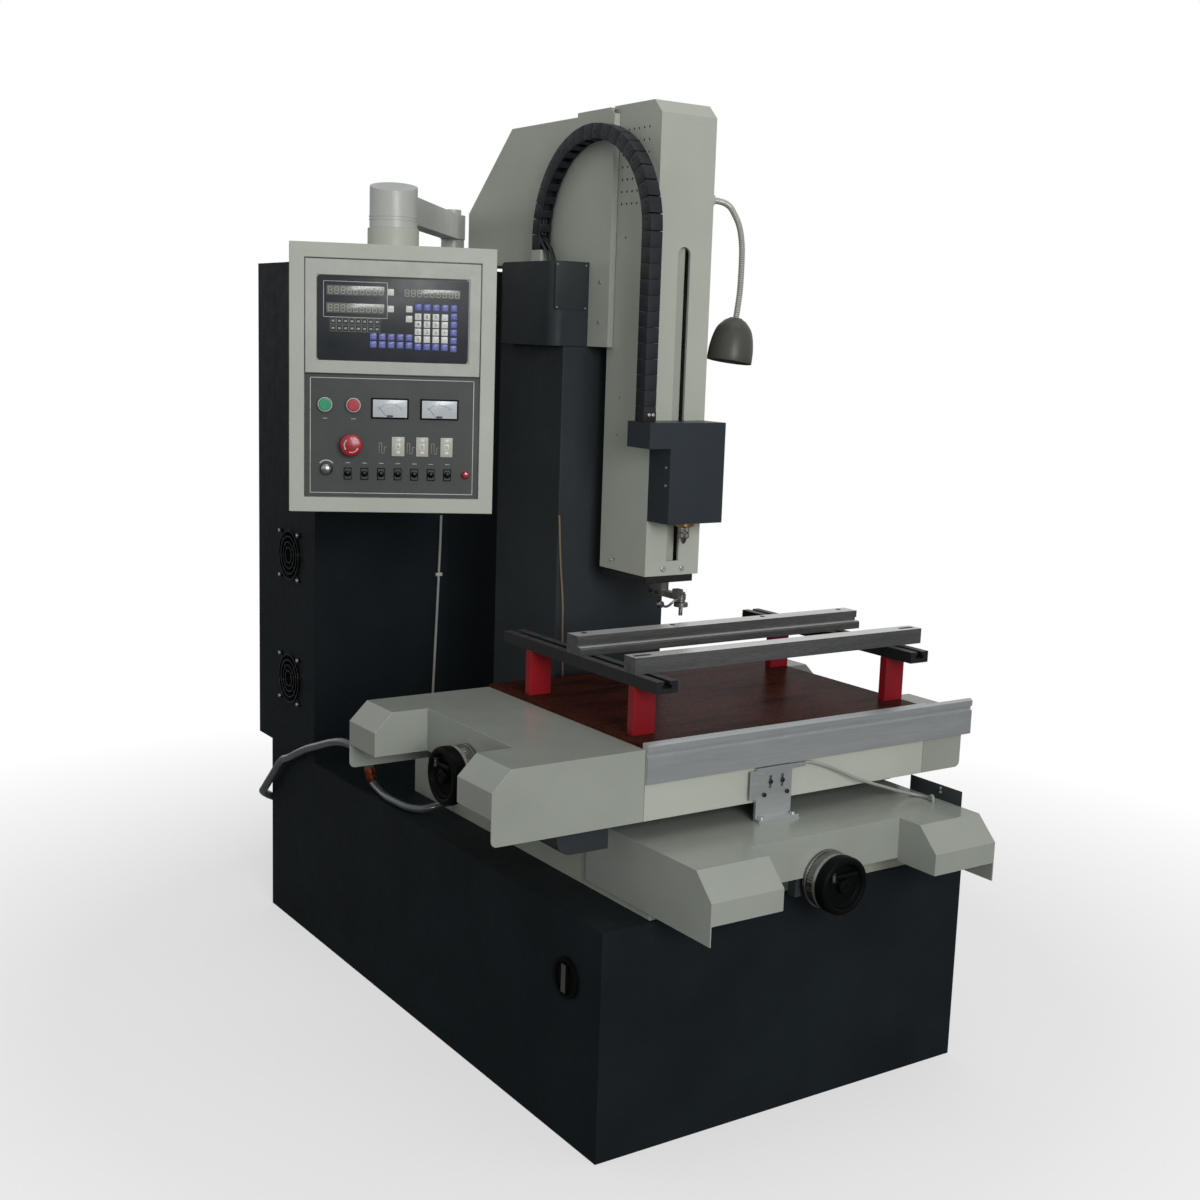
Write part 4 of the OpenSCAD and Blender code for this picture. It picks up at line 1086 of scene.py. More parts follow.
@dataclass
class Studio:
    """Camera, lamps, world and floor."""

    eye: tuple = (-1.857, -2.787, 1.414)
    yaw: float = 34.11
    pitch: float = 9.54
    roll: float = -1.90
    focal: float = 1562.0
    frame_width: float = 1200.0
    world_level: float = 0.40
    gloss_level: float = 0.62
    floor_size: float = 30.0
    fade: tuple = (1.1, 2.4)
    floor_tone: tuple = srgb(140, 140, 140)
    floor_lift: float = 0.55
    sensor: float = 36.0
    key_lamp: tuple = ((-1.9, -7.0, 2.7), (0.0, 0.0, 0.95), 2.8, 240.0)
    top_lamp: tuple = ((0.3, -0.6, 4.8), (0.0, 0.0, 0.8), 2.6, 16.0)

    def place_camera(self) -> None:
        """Sets the camera at the eye, looking right and to the rear."""
        yaw, pitch, roll = (math.radians(v) for v in (self.yaw, self.pitch, self.roll))
        ahead = Vector((math.sin(yaw) * math.cos(pitch), math.cos(yaw) * math.cos(pitch), -math.sin(pitch)))
        right = Vector((math.cos(yaw), -math.sin(yaw), 0.0))
        down = ahead.cross(right)
        across = math.cos(roll) * right + math.sin(roll) * down
        below = -math.sin(roll) * right + math.cos(roll) * down
        data = bpy.data.cameras.new("camera")
        data.sensor_width = self.sensor
        data.lens = self.focal / self.frame_width * self.sensor
        camera = bpy.data.objects.new("camera", data)
        turn = Matrix((across, -below, -ahead)).transposed().to_4x4()
        camera.matrix_world = Matrix.Translation(self.eye) @ turn
        bpy.context.collection.objects.link(camera)
        bpy.context.scene.camera = camera

    def lamp(self, name: str, at: Point, aimed: Point, size: float, power: float) -> None:
        """Hangs one soft area lamp.

        Args:
            name: the lamp's name.
            at: where it hangs.
            aimed: the point that it lights.
            size: its side.
            power: its power in watts.
        """
        data = bpy.data.lights.new(name, "AREA")
        data.size = size
        data.energy = power
        lamp = bpy.data.objects.new(name, data)
        lamp.matrix_world = Matrix.Translation(at) @ aim(Vector(at) - Vector(aimed))
        bpy.context.collection.objects.link(lamp)

    def light(self) -> None:
        """Hangs the lamps and sets the world, which shows white to the camera and in gloss."""
        self.lamp("key", *self.key_lamp)
        self.lamp("top", *self.top_lamp)
        world = bpy.data.worlds.new("studio")
        bpy.context.scene.world = world
        world.use_nodes = True
        tree = world.node_tree
        back = tree.nodes["Background"]
        back.inputs["Color"].default_value = WHITE
        ray = tree.nodes.new("ShaderNodeLightPath").outputs
        seen = reckoned(tree, "MAXIMUM", ray["Is Camera Ray"], ray["Is Transmission Ray"])
        gloss = mapped(tree, ray["Is Glossy Ray"], 0.0, 1.0, self.world_level, self.gloss_level)
        tree.links.new(reckoned(tree, "MAXIMUM", seen, gloss), back.inputs["Strength"])

    def lay_floor(self) -> None:
        """Lays a plain pale floor that takes the shadow and fades to white for the camera."""
        deselect()
        bpy.ops.mesh.primitive_plane_add(size=self.floor_size, location=(0, 0, -0.0006))
        floor = settle(bpy.context.object)
        floor.name = "studio_floor"
        material = bpy.data.materials.new("pale_floor")
        material.use_nodes = True
        tree = material.node_tree
        shader = tree.nodes["Principled BSDF"]
        seen = tree.nodes.new("ShaderNodeLightPath").outputs["Is Camera Ray"]
        tone = Finish.mixed(tree, seen, self.floor_tone, srgb(240, 240, 240))
        tree.links.new(tone, shader.inputs["Base Color"])
        shader.inputs["Roughness"].default_value = 0.9
        shader.inputs["Specular IOR Level"].default_value = 0.05
        white = wired(tree, "ShaderNodeEmission", Color=WHITE, Strength=1.0)
        where = tree.nodes.new("ShaderNodeTexCoord").outputs["Object"]
        away = wired(tree, "ShaderNodeVectorMath", operation="LENGTH", i0=where).outputs["Value"]
        part = reckoned(tree, "MULTIPLY", mapped(tree, away, *self.fade, self.floor_lift), seen)
        blend = wired(tree, "ShaderNodeMixShader", i0=part, i1=shader.outputs[0], i2=white.outputs[0])
        tree.links.new(blend.outputs[0], tree.nodes["Material Output"].inputs["Surface"])
        floor.data.materials.append(material)

    def build(self) -> None:
        """Makes the camera, lamps, world and floor."""
        self.place_camera()
        self.light()
        self.lay_floor()
        bpy.context.scene.view_settings.view_transform = "Standard"


# ---- hoses ----


@dataclass
class Hoses(SubAssembly):
    """The water hose in two lengths, its coupling, and the thin cables."""

    left: float = -0.432
    front: float = -0.725
    hose_r: float = 0.0095
    short_r: float = 0.0085
    cable_r: float = 0.003
    long_route: tuple = ((40, 1446, 250), (40, 1472, 250), (30, 1492, 255), (8, 1496, 266),
                         (-10, 1486, 280), (-16, 1460, 296), (-17, 1410, 340), (-17, 1350, 392),
                         (-17, 1300, 413), (-17, 1241, 440), (-17, 1185, 463), (-17, 1127, 483),
                         (-17, 1060, 506), (-14, 1010, 518), (-6, 975, 516), (6, 960, 500),
                         (16, 955, 482), (21.5, 952.6, 469), (24, 950, 455))
    short_route: tuple = ((24, 950, 455), (26, 947.92, 443.8), (26, 938, 436), (23, 905, 431),
                          (16, 856, 431), (17, 805, 431), (22, 765, 431), (36, 735, 433),
                          (56, 722, 438), (80, 718, 444), (103, 718, 444))
    cable_route: tuple = ((468, 40, 651), (480, 40, 651), (510, 37, 642), (545, 31, 628), (585, 24, 610),
                          (616, 20, 598), (660, 19, 583), (700, 21, 569), (728, 18, 561), (740, 6, 558.4),
                          (742, -8, 559), (741, -18, 563), (739, -26, 567), (738, -30, 562),
                          (738, -30, 555))

    def line(self, route: Sequence[Point]) -> list[Vector]:
        """A route from the base's front left corner, as a smooth line in the frame."""
        return smoothed_path([(self.left + x * MM, self.front + y * MM, z * MM) for x, y, z in route], 5)

    def free_cord(self, name: str, route: Sequence[Point], radius: float, finish: Finish, body: str,
                  node: str, far_end: str, with_pieces: Sequence[Piece] = ()) -> None:
        """Makes one free hose or cable.

        Args:
            name: the piece's name.
            route: its route in millimetres.
            radius: its radius in metres.
            finish: its finish.
            body: the body it moves with.
            node: the CAD node it stands for.
            far_end: what its far end is; not used.
            with_pieces: pieces on it; not used.
        """
        line = self.line(route)
        cord = tube(name, line, radius)
        self.add(cord, body, SLOT_OF[node], finish, [node])

    def coupling(self) -> Piece:
        """The hexagon and ferrules where the two lengths of hose meet.

        Returns:
            The piece.
        """
        end, middle = self.line(self.long_route)[-2:]
        along = middle - end
        r = self.hose_r
        sleeve = [(0, -0.016), (r + 0.001, -0.016), (r + 0.0022, -0.014), (r + 0.0022, -0.004),
                  (r + 0.001, -0.003), (r + 0.001, 0.003), (r + 0.0022, 0.004), (r + 0.0022, 0.014),
                  (r + 0.001, 0.016), (0, 0.016)]
        hexagon = [(0, -0.005), (r + 0.0016, -0.005), (r + 0.0024, -0.004), (r + 0.0024, 0.004),
                   (r + 0.0016, 0.005), (0, 0.005)]
        ferrules = turned("hose_coupling", sleeve, middle, along, 32)
        return joined("hose_coupling", [ferrules, turned("coupling_nut", hexagon, middle, along, 6, 20)])

    def build(self) -> None:
        """Makes the hoses and the read-out cable."""
        coupling = self.add(self.coupling(), "machine", "bare_steel", COPPER)
        self.free_cord("water_hose_long", self.long_route, self.hose_r, HOSE, "machine", "hose_long",
                       "fitting", [coupling])
        self.free_cord("water_hose_short", self.short_route, self.short_r, HOSE, "machine", "hose_short",
                       "object")
        self.free_cord("read_out_cable", self.cable_route, self.cable_r, GREY_CABLE, "saddle",
                       "scale_cable", "object")


# ---- base, bed and column ----


@dataclass
class Base(SubAssembly):
    """Base cabinet, its latch, bed, column and column head."""

    sheet_edge: float = 0.002
    casting_edge: float = 0.003
    plate_x: tuple = (-0.160, -0.084)
    plate_drop: tuple = (0.096, 0.003)
    column_cable: tuple = ((-0.137, 1.050), (-0.131, 0.956), (-0.123, 0.871), (-0.121, 0.80),
                           (-0.117, 0.700), (-0.112, 0.548))
    cabinet_cable: tuple = ((-0.113, 0.987), (-0.114, 0.93), (-0.117, 0.847), (-0.120, 0.76),
                            (-0.124, 0.66), (-0.130, 0.50), (-0.132, 0.425))

    def build_base(self) -> None:
        """Cabinet, latch ring and latch blade."""
        self.stand_for("base_cabinet", DARK_PAINT, self.sheet_edge)
        latch = self.stand_for("base_latch", BLACK_PLASTIC, 0.0008)
        dress_where(latch, LAMP_PAINT, lambda c, n: n.x < -0.9 and c.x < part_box("base_latch")[0].x + 0.001)

    def build_castings(self) -> None:
        """Bed, column and column head."""
        self.stand_for("bed", BED_PAINT, self.casting_edge)
        self.stand_for("column", CASTING_PAINT, self.casting_edge)
        self.stand_for("column_head", CASTING_PAINT, self.casting_edge)

    def build_name_plate(self) -> None:
        """A bare data plate with four rivets on the column head's front."""
        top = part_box("column_head")[1].z
        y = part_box("column")[0].y - 0.0012
        x0, x1 = self.plate_x
        z0, z1 = (top - drop for drop in self.plate_drop)
        blank = plate("data_plate", (x0, y, z0), (x1, y + 0.0016, z1), Axis.Y, 0.003)
        self.add(blank, "machine", "black_metal", DATA_PAINT)
        rivet = [(0, -0.0005), (0.002, -0.0005), (0.0018, 0.0008), (0, 0.0013)]
        rivets = [turned("rivet", rivet, (x, y, z), FRONT, 12) for x in (x0 + 0.004, x1 - 0.004)
                  for z in (z0 + 0.004, z1 - 0.004)]
        self.add(joined("data_plate_rivets", rivets), "machine", "bare_steel", ZINC)

    def hang(self, name: str, route: Sequence[Point], y: float, radius: float, finish: Finish) -> None:
        """Hangs one thin cable down a wall.

        Args:
            name: the piece's name.
            route: x and z of its points.
            y: where it lies in front of the wall.
            radius: its radius.
            finish: its finish.
        """
        cable = as_mesh(tube(name, smoothed_path([(x, y, z) for x, z in route]), radius))
        self.add(smooth(cable), "machine", "cable", finish)

    def build_cables(self) -> None:
        """Thin cables down the column's front and the cabinet's front."""
        self.hang("column_cable", self.column_cable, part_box("column")[0].y - 0.003, 0.0022, TAN_CABLE)
        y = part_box("cabinet_body")[0].y - 0.0035
        self.hang("cabinet_cable", self.cabinet_cable, y, 0.003, GREY_CABLE)
        clip = block("cable_clip", (-0.125, y - 0.004, 0.842), (-0.109, y + 0.0035, 0.850), 0.001)
        self.add(clip, "machine", "cable", BEIGE)

    def build(self) -> None:
        """Makes everything from the floor to the column head."""
        self.build_base()
        self.build_castings()
        self.build_name_plate()
        self.build_cables()


@dataclass
class Hood(SubAssembly):
    """The two hood halves over the column head."""

    edge: float = 0.0016
    screw_inset: float = 0.032
    screw_rise: tuple = (0.049, 0.128)

    def build(self) -> None:
        """Makes the hood halves and their screws."""
        self.stand_for("hood_rear", LIGHT_PAINT, self.edge)
        self.stand_for("hood_front", LIGHT_PAINT, self.edge)
        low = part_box("hood_front")[0]
        y = low.y + self.screw_inset
        self.screws("hood_screws", "machine", ZINC,
                    [((low.x, y, low.z + dz), LEFT, Head.HOOD) for dz in self.screw_rise])


@dataclass
class ElectricalCabinet(SubAssembly):
    """Electrical cabinet with its two fans."""

    edge: float = 0.0025
    guard_depth: float = 0.0004
    pitch: float = 0.105
    rotors: tuple = ("fan_rotor_upper", "fan_rotor_lower")

    def build(self) -> None:
        """Makes the cabinet, fan frames, guards and rotors."""
        self.stand_for("cabinet_body", DARK_PAINT, self.edge)
        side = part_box("cabinet_body")[0].x
        fans = self.stand_for("fan_units", BLACK_OXIDE, 0.0012, 3)
        dress_where(fans, GUARD_WIRE, lambda c, n: c.x < side + self.guard_depth)
        x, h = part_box("fan_units")[0].x + 0.0006, self.pitch / 2
        middles = [sum(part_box(node), Vector()) / 2 for node in self.rotors]
        self.screws("fan_screws", "machine", ZINC, [((x, at.y + a, at.z + b), LEFT, Head.FAN)
                                                    for at in middles for a in (-h, h) for b in (-h, h)])
        for node in self.rotors:
            self.stand_for(node, BLACK_PLASTIC, 0.0006, 1)


# ---- pendant ----


@dataclass
class Pendant(SubAssembly):
    """Pendant box on its arm: read-out, keys, meters, switches and buttons.

    Lengths on its face are millimetres from its middle: right, up, and out from the hinge.
    """

    face: float = -70.0
    panel: float = -64.0
    key: float = 12.6
    key_rise: float = 1.6
    buttons: tuple = ((-131, -49.5), (-76, -49.5))
    stop_at: tuple = (-80, -127)
    arrow_r: float = 13.6
    knob_at: tuple = (-128, -175)
    meters: tuple = ((-39, 29), (57, 127))
    meter_rise: tuple = (-72.5, -37)
    thumbwheels: tuple = ((-1, 24), (47, 71), (95, 119))
    toggles: tuple = tuple(-86.4 + 32.6 * i for i in range(7))
    hub: Vector = field(default_factory=lambda: Vector(joint("pendant_swivel")["pos_m"]))
    middle: float = 0.0

    def __post_init__(self) -> None:
        """Finds the pendant's place and turn from the frame."""
        self.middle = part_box("pendant_box")[0].z + 0.26
        normal = joint("start_press")["axis"]
        turn = Matrix.Rotation(-math.atan2(normal[0], normal[1]), 4, "Z")
        self.place = Matrix.Translation((self.hub.x, self.hub.y, self.middle)) @ turn

    def seat(self, piece: Piece) -> Piece:
        """Moves a piece made at the face's own middle to the pendant."""
        piece.data.transform(self.place)
        return piece

    def tile(self, name: str, u: Point, v: Point, out: Point, radius: float = 0.0,
             width: float = 0.3) -> Piece:
        """A plate on the face.

        Args:
            name: the piece's name.
            u: left and right ends.
            v: lower and upper ends.
            out: front and rear, measured from the hinge.
            radius: corner radius.
            width: edge rounding.

        Returns:
            The piece, still at the face's own middle.
        """
        low = (u[0] * MM, out[0] * MM, v[0] * MM)
        high = (u[1] * MM, out[1] * MM, v[1] * MM)
        if radius:
            return plate(name, low, high, Axis.Y, radius * MM, width * MM)
        return block(name, low, high, width * MM)

    def tiles(self, name: str, places: Sequence[Point], size: Point, out: Point,
              radius: float = 0.0) -> Piece:
        """Equal plates at several places, as one piece.

        Args:
            name: the piece's name.
            places: the plates' middles, right and up.
            size: width and height.
            out: front and rear.
            radius: corner radius.

        Returns:
            The piece.
        """
        first = self.tile(name, (-size[0] / 2, size[0] / 2), (-size[1] / 2, size[1] / 2), out, radius)
        return repeated(name, first, [self.shift(u, v) for u, v in places])

    @staticmethod
    def shift(u: float, v: float, degrees: float = 0.0) -> Matrix:
        """The move from the face's middle to a point of it, turned in the face first."""
        return Matrix.Translation((u * MM, 0, v * MM)) @ Matrix.Rotation(math.radians(degrees), 4, "Y")

    def frame_lines(self, name: str, u: Point, v: Point, out: Point, wide: float) -> Piece:
        """A thin printed frame, of four strips.

        Args:
            name: the piece's name.
            u: left and right ends.
            v: lower and upper ends.
            out: front and rear.
            wide: line width.

        Returns:
            The piece.
        """
        spans = ((u, (v[0], v[0] + wide)), (u, (v[1] - wide, v[1])), ((u[0], u[0] + wide), v),
                 ((u[1] - wide, u[1]), v))
        return joined(name, [self.tile("strip", a, b, out) for a, b in spans])

    def figures(self, name: str, marks: Sequence[tuple[str, float, float]], tall: float,
                out: float) -> Piece:
        """Plain figures printed on keys.

        Args:
            name: the piece's name.
            marks: each figure with its middle, right and up.
            tall: figure height.
            out: how far out their backs lie.

        Returns:
            The piece.
        """
        made = []
        for figure, u, v in marks:
            deselect()
            bpy.ops.object.text_add(location=(u * MM, out * MM, v * MM), rotation=(math.pi / 2, 0, 0))
            text = bpy.context.object
            text.data.body = figure
            text.data.size = tall * MM
            text.data.align_x = "CENTER"
            text.data.align_y = "CENTER"
            text.data.extrude = 0.00008
            made.append(as_mesh(text))
        return joined(name, made)

    def put(self, piece: Piece, slot: str, finish: Finish) -> Piece:
        """Seats a piece on the pendant and adds it."""
        return self.add(self.seat(piece), "pendant", slot, finish)

    def ring(self, name: str, u: float, v: float, profile: Sequence[Point], out: float,
             steps: int = 48) -> Piece:
        """A turned piece on the face.

        Args:
            name: the piece's name.
            u: its axis, to the right.
            v: its axis, upwards.
            profile: radius and height in millimetres, height towards the operator.
            out: where height 0 lies.
            steps: facets round it.

        Returns:
            The piece.
        """
        scaled = [(r * MM, h * MM) for r, h in profile]
        return turned(name, scaled, (u * MM, out * MM, v * MM), FRONT, steps)

    def cap(self, node: str, name: str, at: Point, profile: Sequence[Point], finish: Finish,
            steps: int = 48) -> None:
        """Adds a turned cap on the panel that stands for a CAD node.

        Args:
            node: the CAD node.
            name: the piece's name.
            at: its middle on the face.
            profile: radius and height in millimetres.
            finish: its finish.
            steps: facets round it.
        """
        piece = self.seat(self.ring(name, *at, profile, self.panel, steps))
        self.add(piece, BODY_OF[node], SLOT_OF[node], finish, [node])

    def digits(self, name: str, cells: Sequence[Point], wide: float, tall: float, out: float,
               line: float = 0.8) -> Piece:
        """Unlit seven-bar figures, all bars drawn.

        Args:
            name: the piece's name.
            cells: the figures' middles.
            wide: figure width.
            tall: figure height.
            out: front of the bars.
            line: bar width.

        Returns:
            The piece.
        """
        w, h, g = wide / 2, tall / 2, line / 2
        bars = [((-w + g, w - g), (k * h - g, k * h + g)) for k in (-1, 0, 1)]
        bars += [((s * w - g, s * w + g), (a, b)) for s in (-1, 1) for a, b in ((-h + g, -g), (g, h - g))]
        first = joined("bars", [self.tile("bar", u, v, (out, out + 0.12), width=0.0) for u, v in bars])
        return repeated(name, first, [self.shift(u, v) for u, v in cells])

    def build_arm(self) -> None:
        """Arm, post and pendant box."""
        self.stand_for("arm_post", ARM_PAINT, 0.001)
        self.stand_for("pendant_arm", ARM_PAINT, 0.0015)
        self.stand_for("pendant_box", LIGHT_PAINT, 0.002, 3)
        band = [(0.0465, -0.002), (0.0478, -0.0012), (0.0478, 0.0012), (0.0465, 0.002), (0.0455, 0.0),
                (0.0465, -0.002)]
        bands = [turned("hub_band", band, (self.hub.x, self.hub.y, z), UP, 72) for z in (1.628, 1.634)]
        self.add(joined("hub_bands", bands), "arm", "light_paint", ARM_PAINT)

    def build_read_out(self) -> None:
        """Read-out bezel, a painted shadow frame in the gap round it, dark film, displays and keys."""
        self.stand_for("dro_unit", BEZEL, 0.0012)
        f = self.face
        # Dark strips in the gap round the read-out: painted shadow of the recess.
        shadow_frame = self.frame_lines("read_out_painted_shadow", (-171, 171), (10, 231), (f + 0.9, f + 1.8), 2.0)
        self.put(shadow_frame, "black_plastic", DARK_INK)
        film = self.tile("read_out_film", (-147, 146), (36.6, 198.6), (f + 2.4, f + 4.2), 6)
        self.put(film, "black_plastic", FASCIA)
        top = f + 2.4
        border = self.frame_lines("display_frame", (-135, -12), (119, 188), (top - 0.12, top + 0.1), 0.9)
        self.put(border, "dro_plastic", WHITE_INK)
        glass = (top - 0.35, top + 0.2)
        windows = self.tiles("count_windows", [(-73.5, 170.5), (-73.5, 137)], (111, 19), glass, 1)
        self.put(windows, "dro_plastic", WINDOW)
        self.put(self.tile("message_window", (19, 129), (161, 178), glass, 1), "dro_plastic", WINDOW)
        cells = [(-122 + 12.2 * i, v) for v in (170.5, 137) for i in range(9)]
        cells += [(25.5 + 12.2 * i, 169.5) for i in range(9)]
        self.put(self.digits("count_figures", cells, 7.4, 12.2, top - 0.47, 1.15), "dro_plastic", SEGMENTS)
        self.build_lamps(top)
        self.build_keys(top)

    def build_lamps(self, top: float) -> None:
        """Printed cells of the small mode lamps under the counters.

        Args:
            top: front of the read-out's film.
        """
        places = [(-122 + 12.1 * i, v) for i in range(8) for v in (92, 106)]
        out = (top - 0.1, top + 0.1)
        cells = [self.frame_lines("cell", (u, u + 11.4), (v, v + 12), out, 0.5) for u, v in places]
        cells += [self.tile("mark", (u + 3, u + 8.4), (v + 4, v + 8), out) for u, v in places]
        self.put(joined("mode_cells", cells), "dro_plastic", BAR_PRINT)

    def build_keys(self, top: float) -> None:
        """White and blue key caps with plain figures.

        Args:
            top: front of the read-out's film.
        """
        rows = [125, 110.5, 96, 81.5]
        columns = [47.5, 64.8, 82.1, 99.5]
        white = [(u, v) for v in rows for u in columns]
        white += [(-6, 170), (-6, 138), (30, 139), (30, 120)]
        blue = [(u, 143) for u in columns] + [(u, 67) for u in columns]
        blue += [(117, v) for v in (143, 127, 111.5, 96, 80.5, 65)]
        blue += [(-39 + 17.3 * i, v) for i in range(5) for v in (84, 69)]
        out = (top - self.key_rise, top + 0.2)
        size = (self.key, self.key)
        self.put(self.tiles("white_keys", white, size, out, 1.2), "dro_plastic", WHITE_KEY)
        self.put(self.tiles("blue_keys", blue, size, out, 1.2), "dro_plastic", BLUE_KEY)
        figures = "789.456-123+0"
        marks = [(c, *white[i]) for i, c in enumerate(figures)]
        self.put(self.figures("key_figures", marks, 9.5, top - self.key_rise - 0.02), "black_plastic",
                 DARK_INK)
        dashes = [(u + du, v + dv) for u, v in blue for du, dv in ((-1.5, 2.4), (0.8, -2.0))]
        dashes = self.tiles("key_dashes", dashes, (5.2, 0.9), (top - self.key_rise - 0.1, top))
        self.put(dashes, "dro_plastic", BLUE_INK)

    def build_panel(self) -> None:
        """Lower panel with its printed frame."""
        self.stand_for("control_panel", PANEL_PAINT, 0.0006, 1)
        out = (self.panel - 0.15, self.panel + 0.1)
        border = self.frame_lines("panel_frame", (-160, 160), (-223, 3), out, 1.3)
        self.put(border, "dro_plastic", WHITE_INK)
        mark = self.tile("mark", (-0.6, 0.6), (15.5, 17.5), out)
        arc_piece = repeated("knob_arc", mark, [self.shift(*self.knob_at, a) for a in range(-48, 49, 4)])
        self.put(arc_piece, "dro_plastic", WHITE_INK)
        places = [(-131, -76.5), (-76, -76.5), *[(u, -163) for u in self.toggles]]
        self.put(self.tiles("panel_legend_bars", places, (9, 1.0), out), "dro_plastic", WHITE_INK)

    def build_buttons(self) -> None:
        """Start, stop and emergency buttons with their rings."""
        collar = [(12.35, 0), (16, 0), (16, 2.2), (15.2, 3.9), (13.4, 5.3), (12.35, 5.3), (12.35, 0)]
        for u, v in self.buttons:
            ring = self.ring(f"button_collar_{int(-u)}", u, v, collar, self.panel)
            self.put(ring, "chrome_wire", WHITE_KEY)
        cap = [(0, 4.3), (11.6, 4.3), (11.9, 5.0), (11.9, 8.2), (11.2, 9.1), (9.5, 9.2), (0, 8.7)]
        for node, at, finish in zip(("start_button", "stop_button"), self.buttons, (GREEN_CAP, RED_CAP)):
            self.cap(node, f"{node}_cap", at, cap, finish)
        skirt = [(0, 4.2), (10, 4.2), (10, 11), *arc(1.5, (19.8, 12.5), -90, 0, 3), (21.5, 14), (21.5, 19),
                 *arc(4.5, (17, 21), 10, 80, 5), (10, 27.2), (0, 27.8)]
        self.cap("estop_button", "emergency_button", self.stop_at, skirt, RED_CAP, 64)
        grip = [(20.3, 12.8), (22.0, 14.2), (22.0, 18.6), (20.3, 20.2), (20.3, 12.8)]
        ring = self.ring("emergency_grip", *self.stop_at, grip, self.panel, 28)
        self.add(self.seat(ring), "estop", "red_cap", RED_CAP)
        self.build_arrows()

    def build_arrows(self) -> None:
        """Three white turning arrows on the emergency button's head."""
        made = []
        out = (-27.9, -26.2)
        for base in (15, 135, 255):
            turns = [base + 9 * i for i in range(9)] + [base + 9 * 8.6]
            bars = [self.tile("bar", (-1.15, 1.15), (-0.9, 0.9), out) for _ in turns[:-1]]
            tip = self.tile("tip", (-2.3, 2.3), (-1.6, 1.6), out)
            with editing(tip) as mesh:
                for vert in mesh.verts:
                    if vert.co.z > 0:
                        vert.co.x *= 0.15
                bmesh.update_edit_mesh(tip.data)
            for bar, turn in zip([*bars, tip], turns):
                a = math.radians(turn)
                u, v = self.arrow_r * math.cos(a), self.arrow_r * math.sin(a)
                bar.data.transform(self.shift(u, v, -turn))
                made.append(bar)
        arrows = joined("emergency_arrows", made)
        u, v = self.stop_at
        arrows.data.transform(Matrix.Translation((u * MM, self.panel * MM, v * MM)))
        self.add(self.seat(arrows), "estop", "red_cap", WHITE_INK)

    def build_meters(self) -> None:
        """Two panel meters with arcs and needles."""
        p = self.panel
        v0, v1 = self.meter_rise
        for k, (u0, u1) in enumerate(self.meters):
            case = self.tile(f"meter_case_{k}", (u0 - 2.4, u1 + 2.4), (v0 - 2.4, v1 + 2.4),
                             (p - 3.4, p + 0.2), 1)
            self.put(case, "black_plastic", BLACK_PLASTIC)
            card = self.tile(f"meter_face_{k}", (u0 + 0.6, u1 - 0.6), (v0 + 0.6, v1 - 0.6),
                             (p - 3.6, p - 1.5), 0.8)
            self.put(card, "dro_plastic", METER_FACE)
            middle, pivot = (u0 + u1) / 2, v0 - 6
            scale = [self.tile("needle", (-0.35, 0.35), (12, 33), (p - 3.8, p - 3.5))]
            scale += [self.tile("tick", (-0.3, 0.3), (31, 33.6 if i % 5 else 35.6), (p - 3.72, p - 3.5))
                      for i in range(21)]
            for mark, turn in zip(scale, (-40, *[-42 + 84 * i / 20 for i in range(21)])):
                mark.data.transform(self.shift(middle, pivot, turn))
            self.put(joined(f"meter_scale_{k}", scale), "black_plastic", DARK_INK)
            foot = self.tile(f"meter_foot_{k}", (middle - 6, middle + 6), (v0 + 1.2, v0 + 5.0),
                             (p - 4.2, p - 3.4), 1)
            self.put(foot, "black_plastic", DARK_INK)

    def build_thumbwheels(self) -> None:
        """Three thumbwheel switches with their figures and the pulse marks beside them."""
        p = self.panel
        for k, (u0, u1) in enumerate(self.thumbwheels):
            body = self.tile(f"thumbwheel_{k}", (u0, u1), (-148, -110), (p - 3.0, p + 0.2), 1)
            self.put(body, "dro_plastic", BEIGE)
            mid = (u0 + u1) / 2
            keys = [self.tile("key", (mid - half, mid + half), span, (p - rise, p - 2.8))
                    for half, span, rise in ((4.5, (-135, -123), 3.1), (4, (-120, -114.5), 4.0),
                                             (4, (-143.5, -138), 4.0))]
            self.put(joined(f"thumbwheel_keys_{k}", keys), "dro_plastic", WHITE_KEY)
        strokes = ((0, 0.9, -142, 20), (0, 6, -122.9, 0.9), (5.1, 6, -142, 20), (5.1, 11, -142.9, 0.9),
                   (10.1, 11, -142, 12), (10.1, 15, -130.9, 0.9))
        pulses = [self.tile("pulse", (u + a, u + b), (v, v + h), (p - 0.15, p + 0.1))
                  for u in (-26, 29, 77) for a, b, v, h in strokes]
        self.put(joined("pulse_marks", pulses), "dro_plastic", BAR_PRINT)
        zeros = [("0", (u0 + u1) / 2, -129) for u0, u1 in self.thumbwheels]
        self.put(self.figures("thumbwheel_figures", zeros, 9.5, p - 3.15), "black_plastic", DARK_INK)

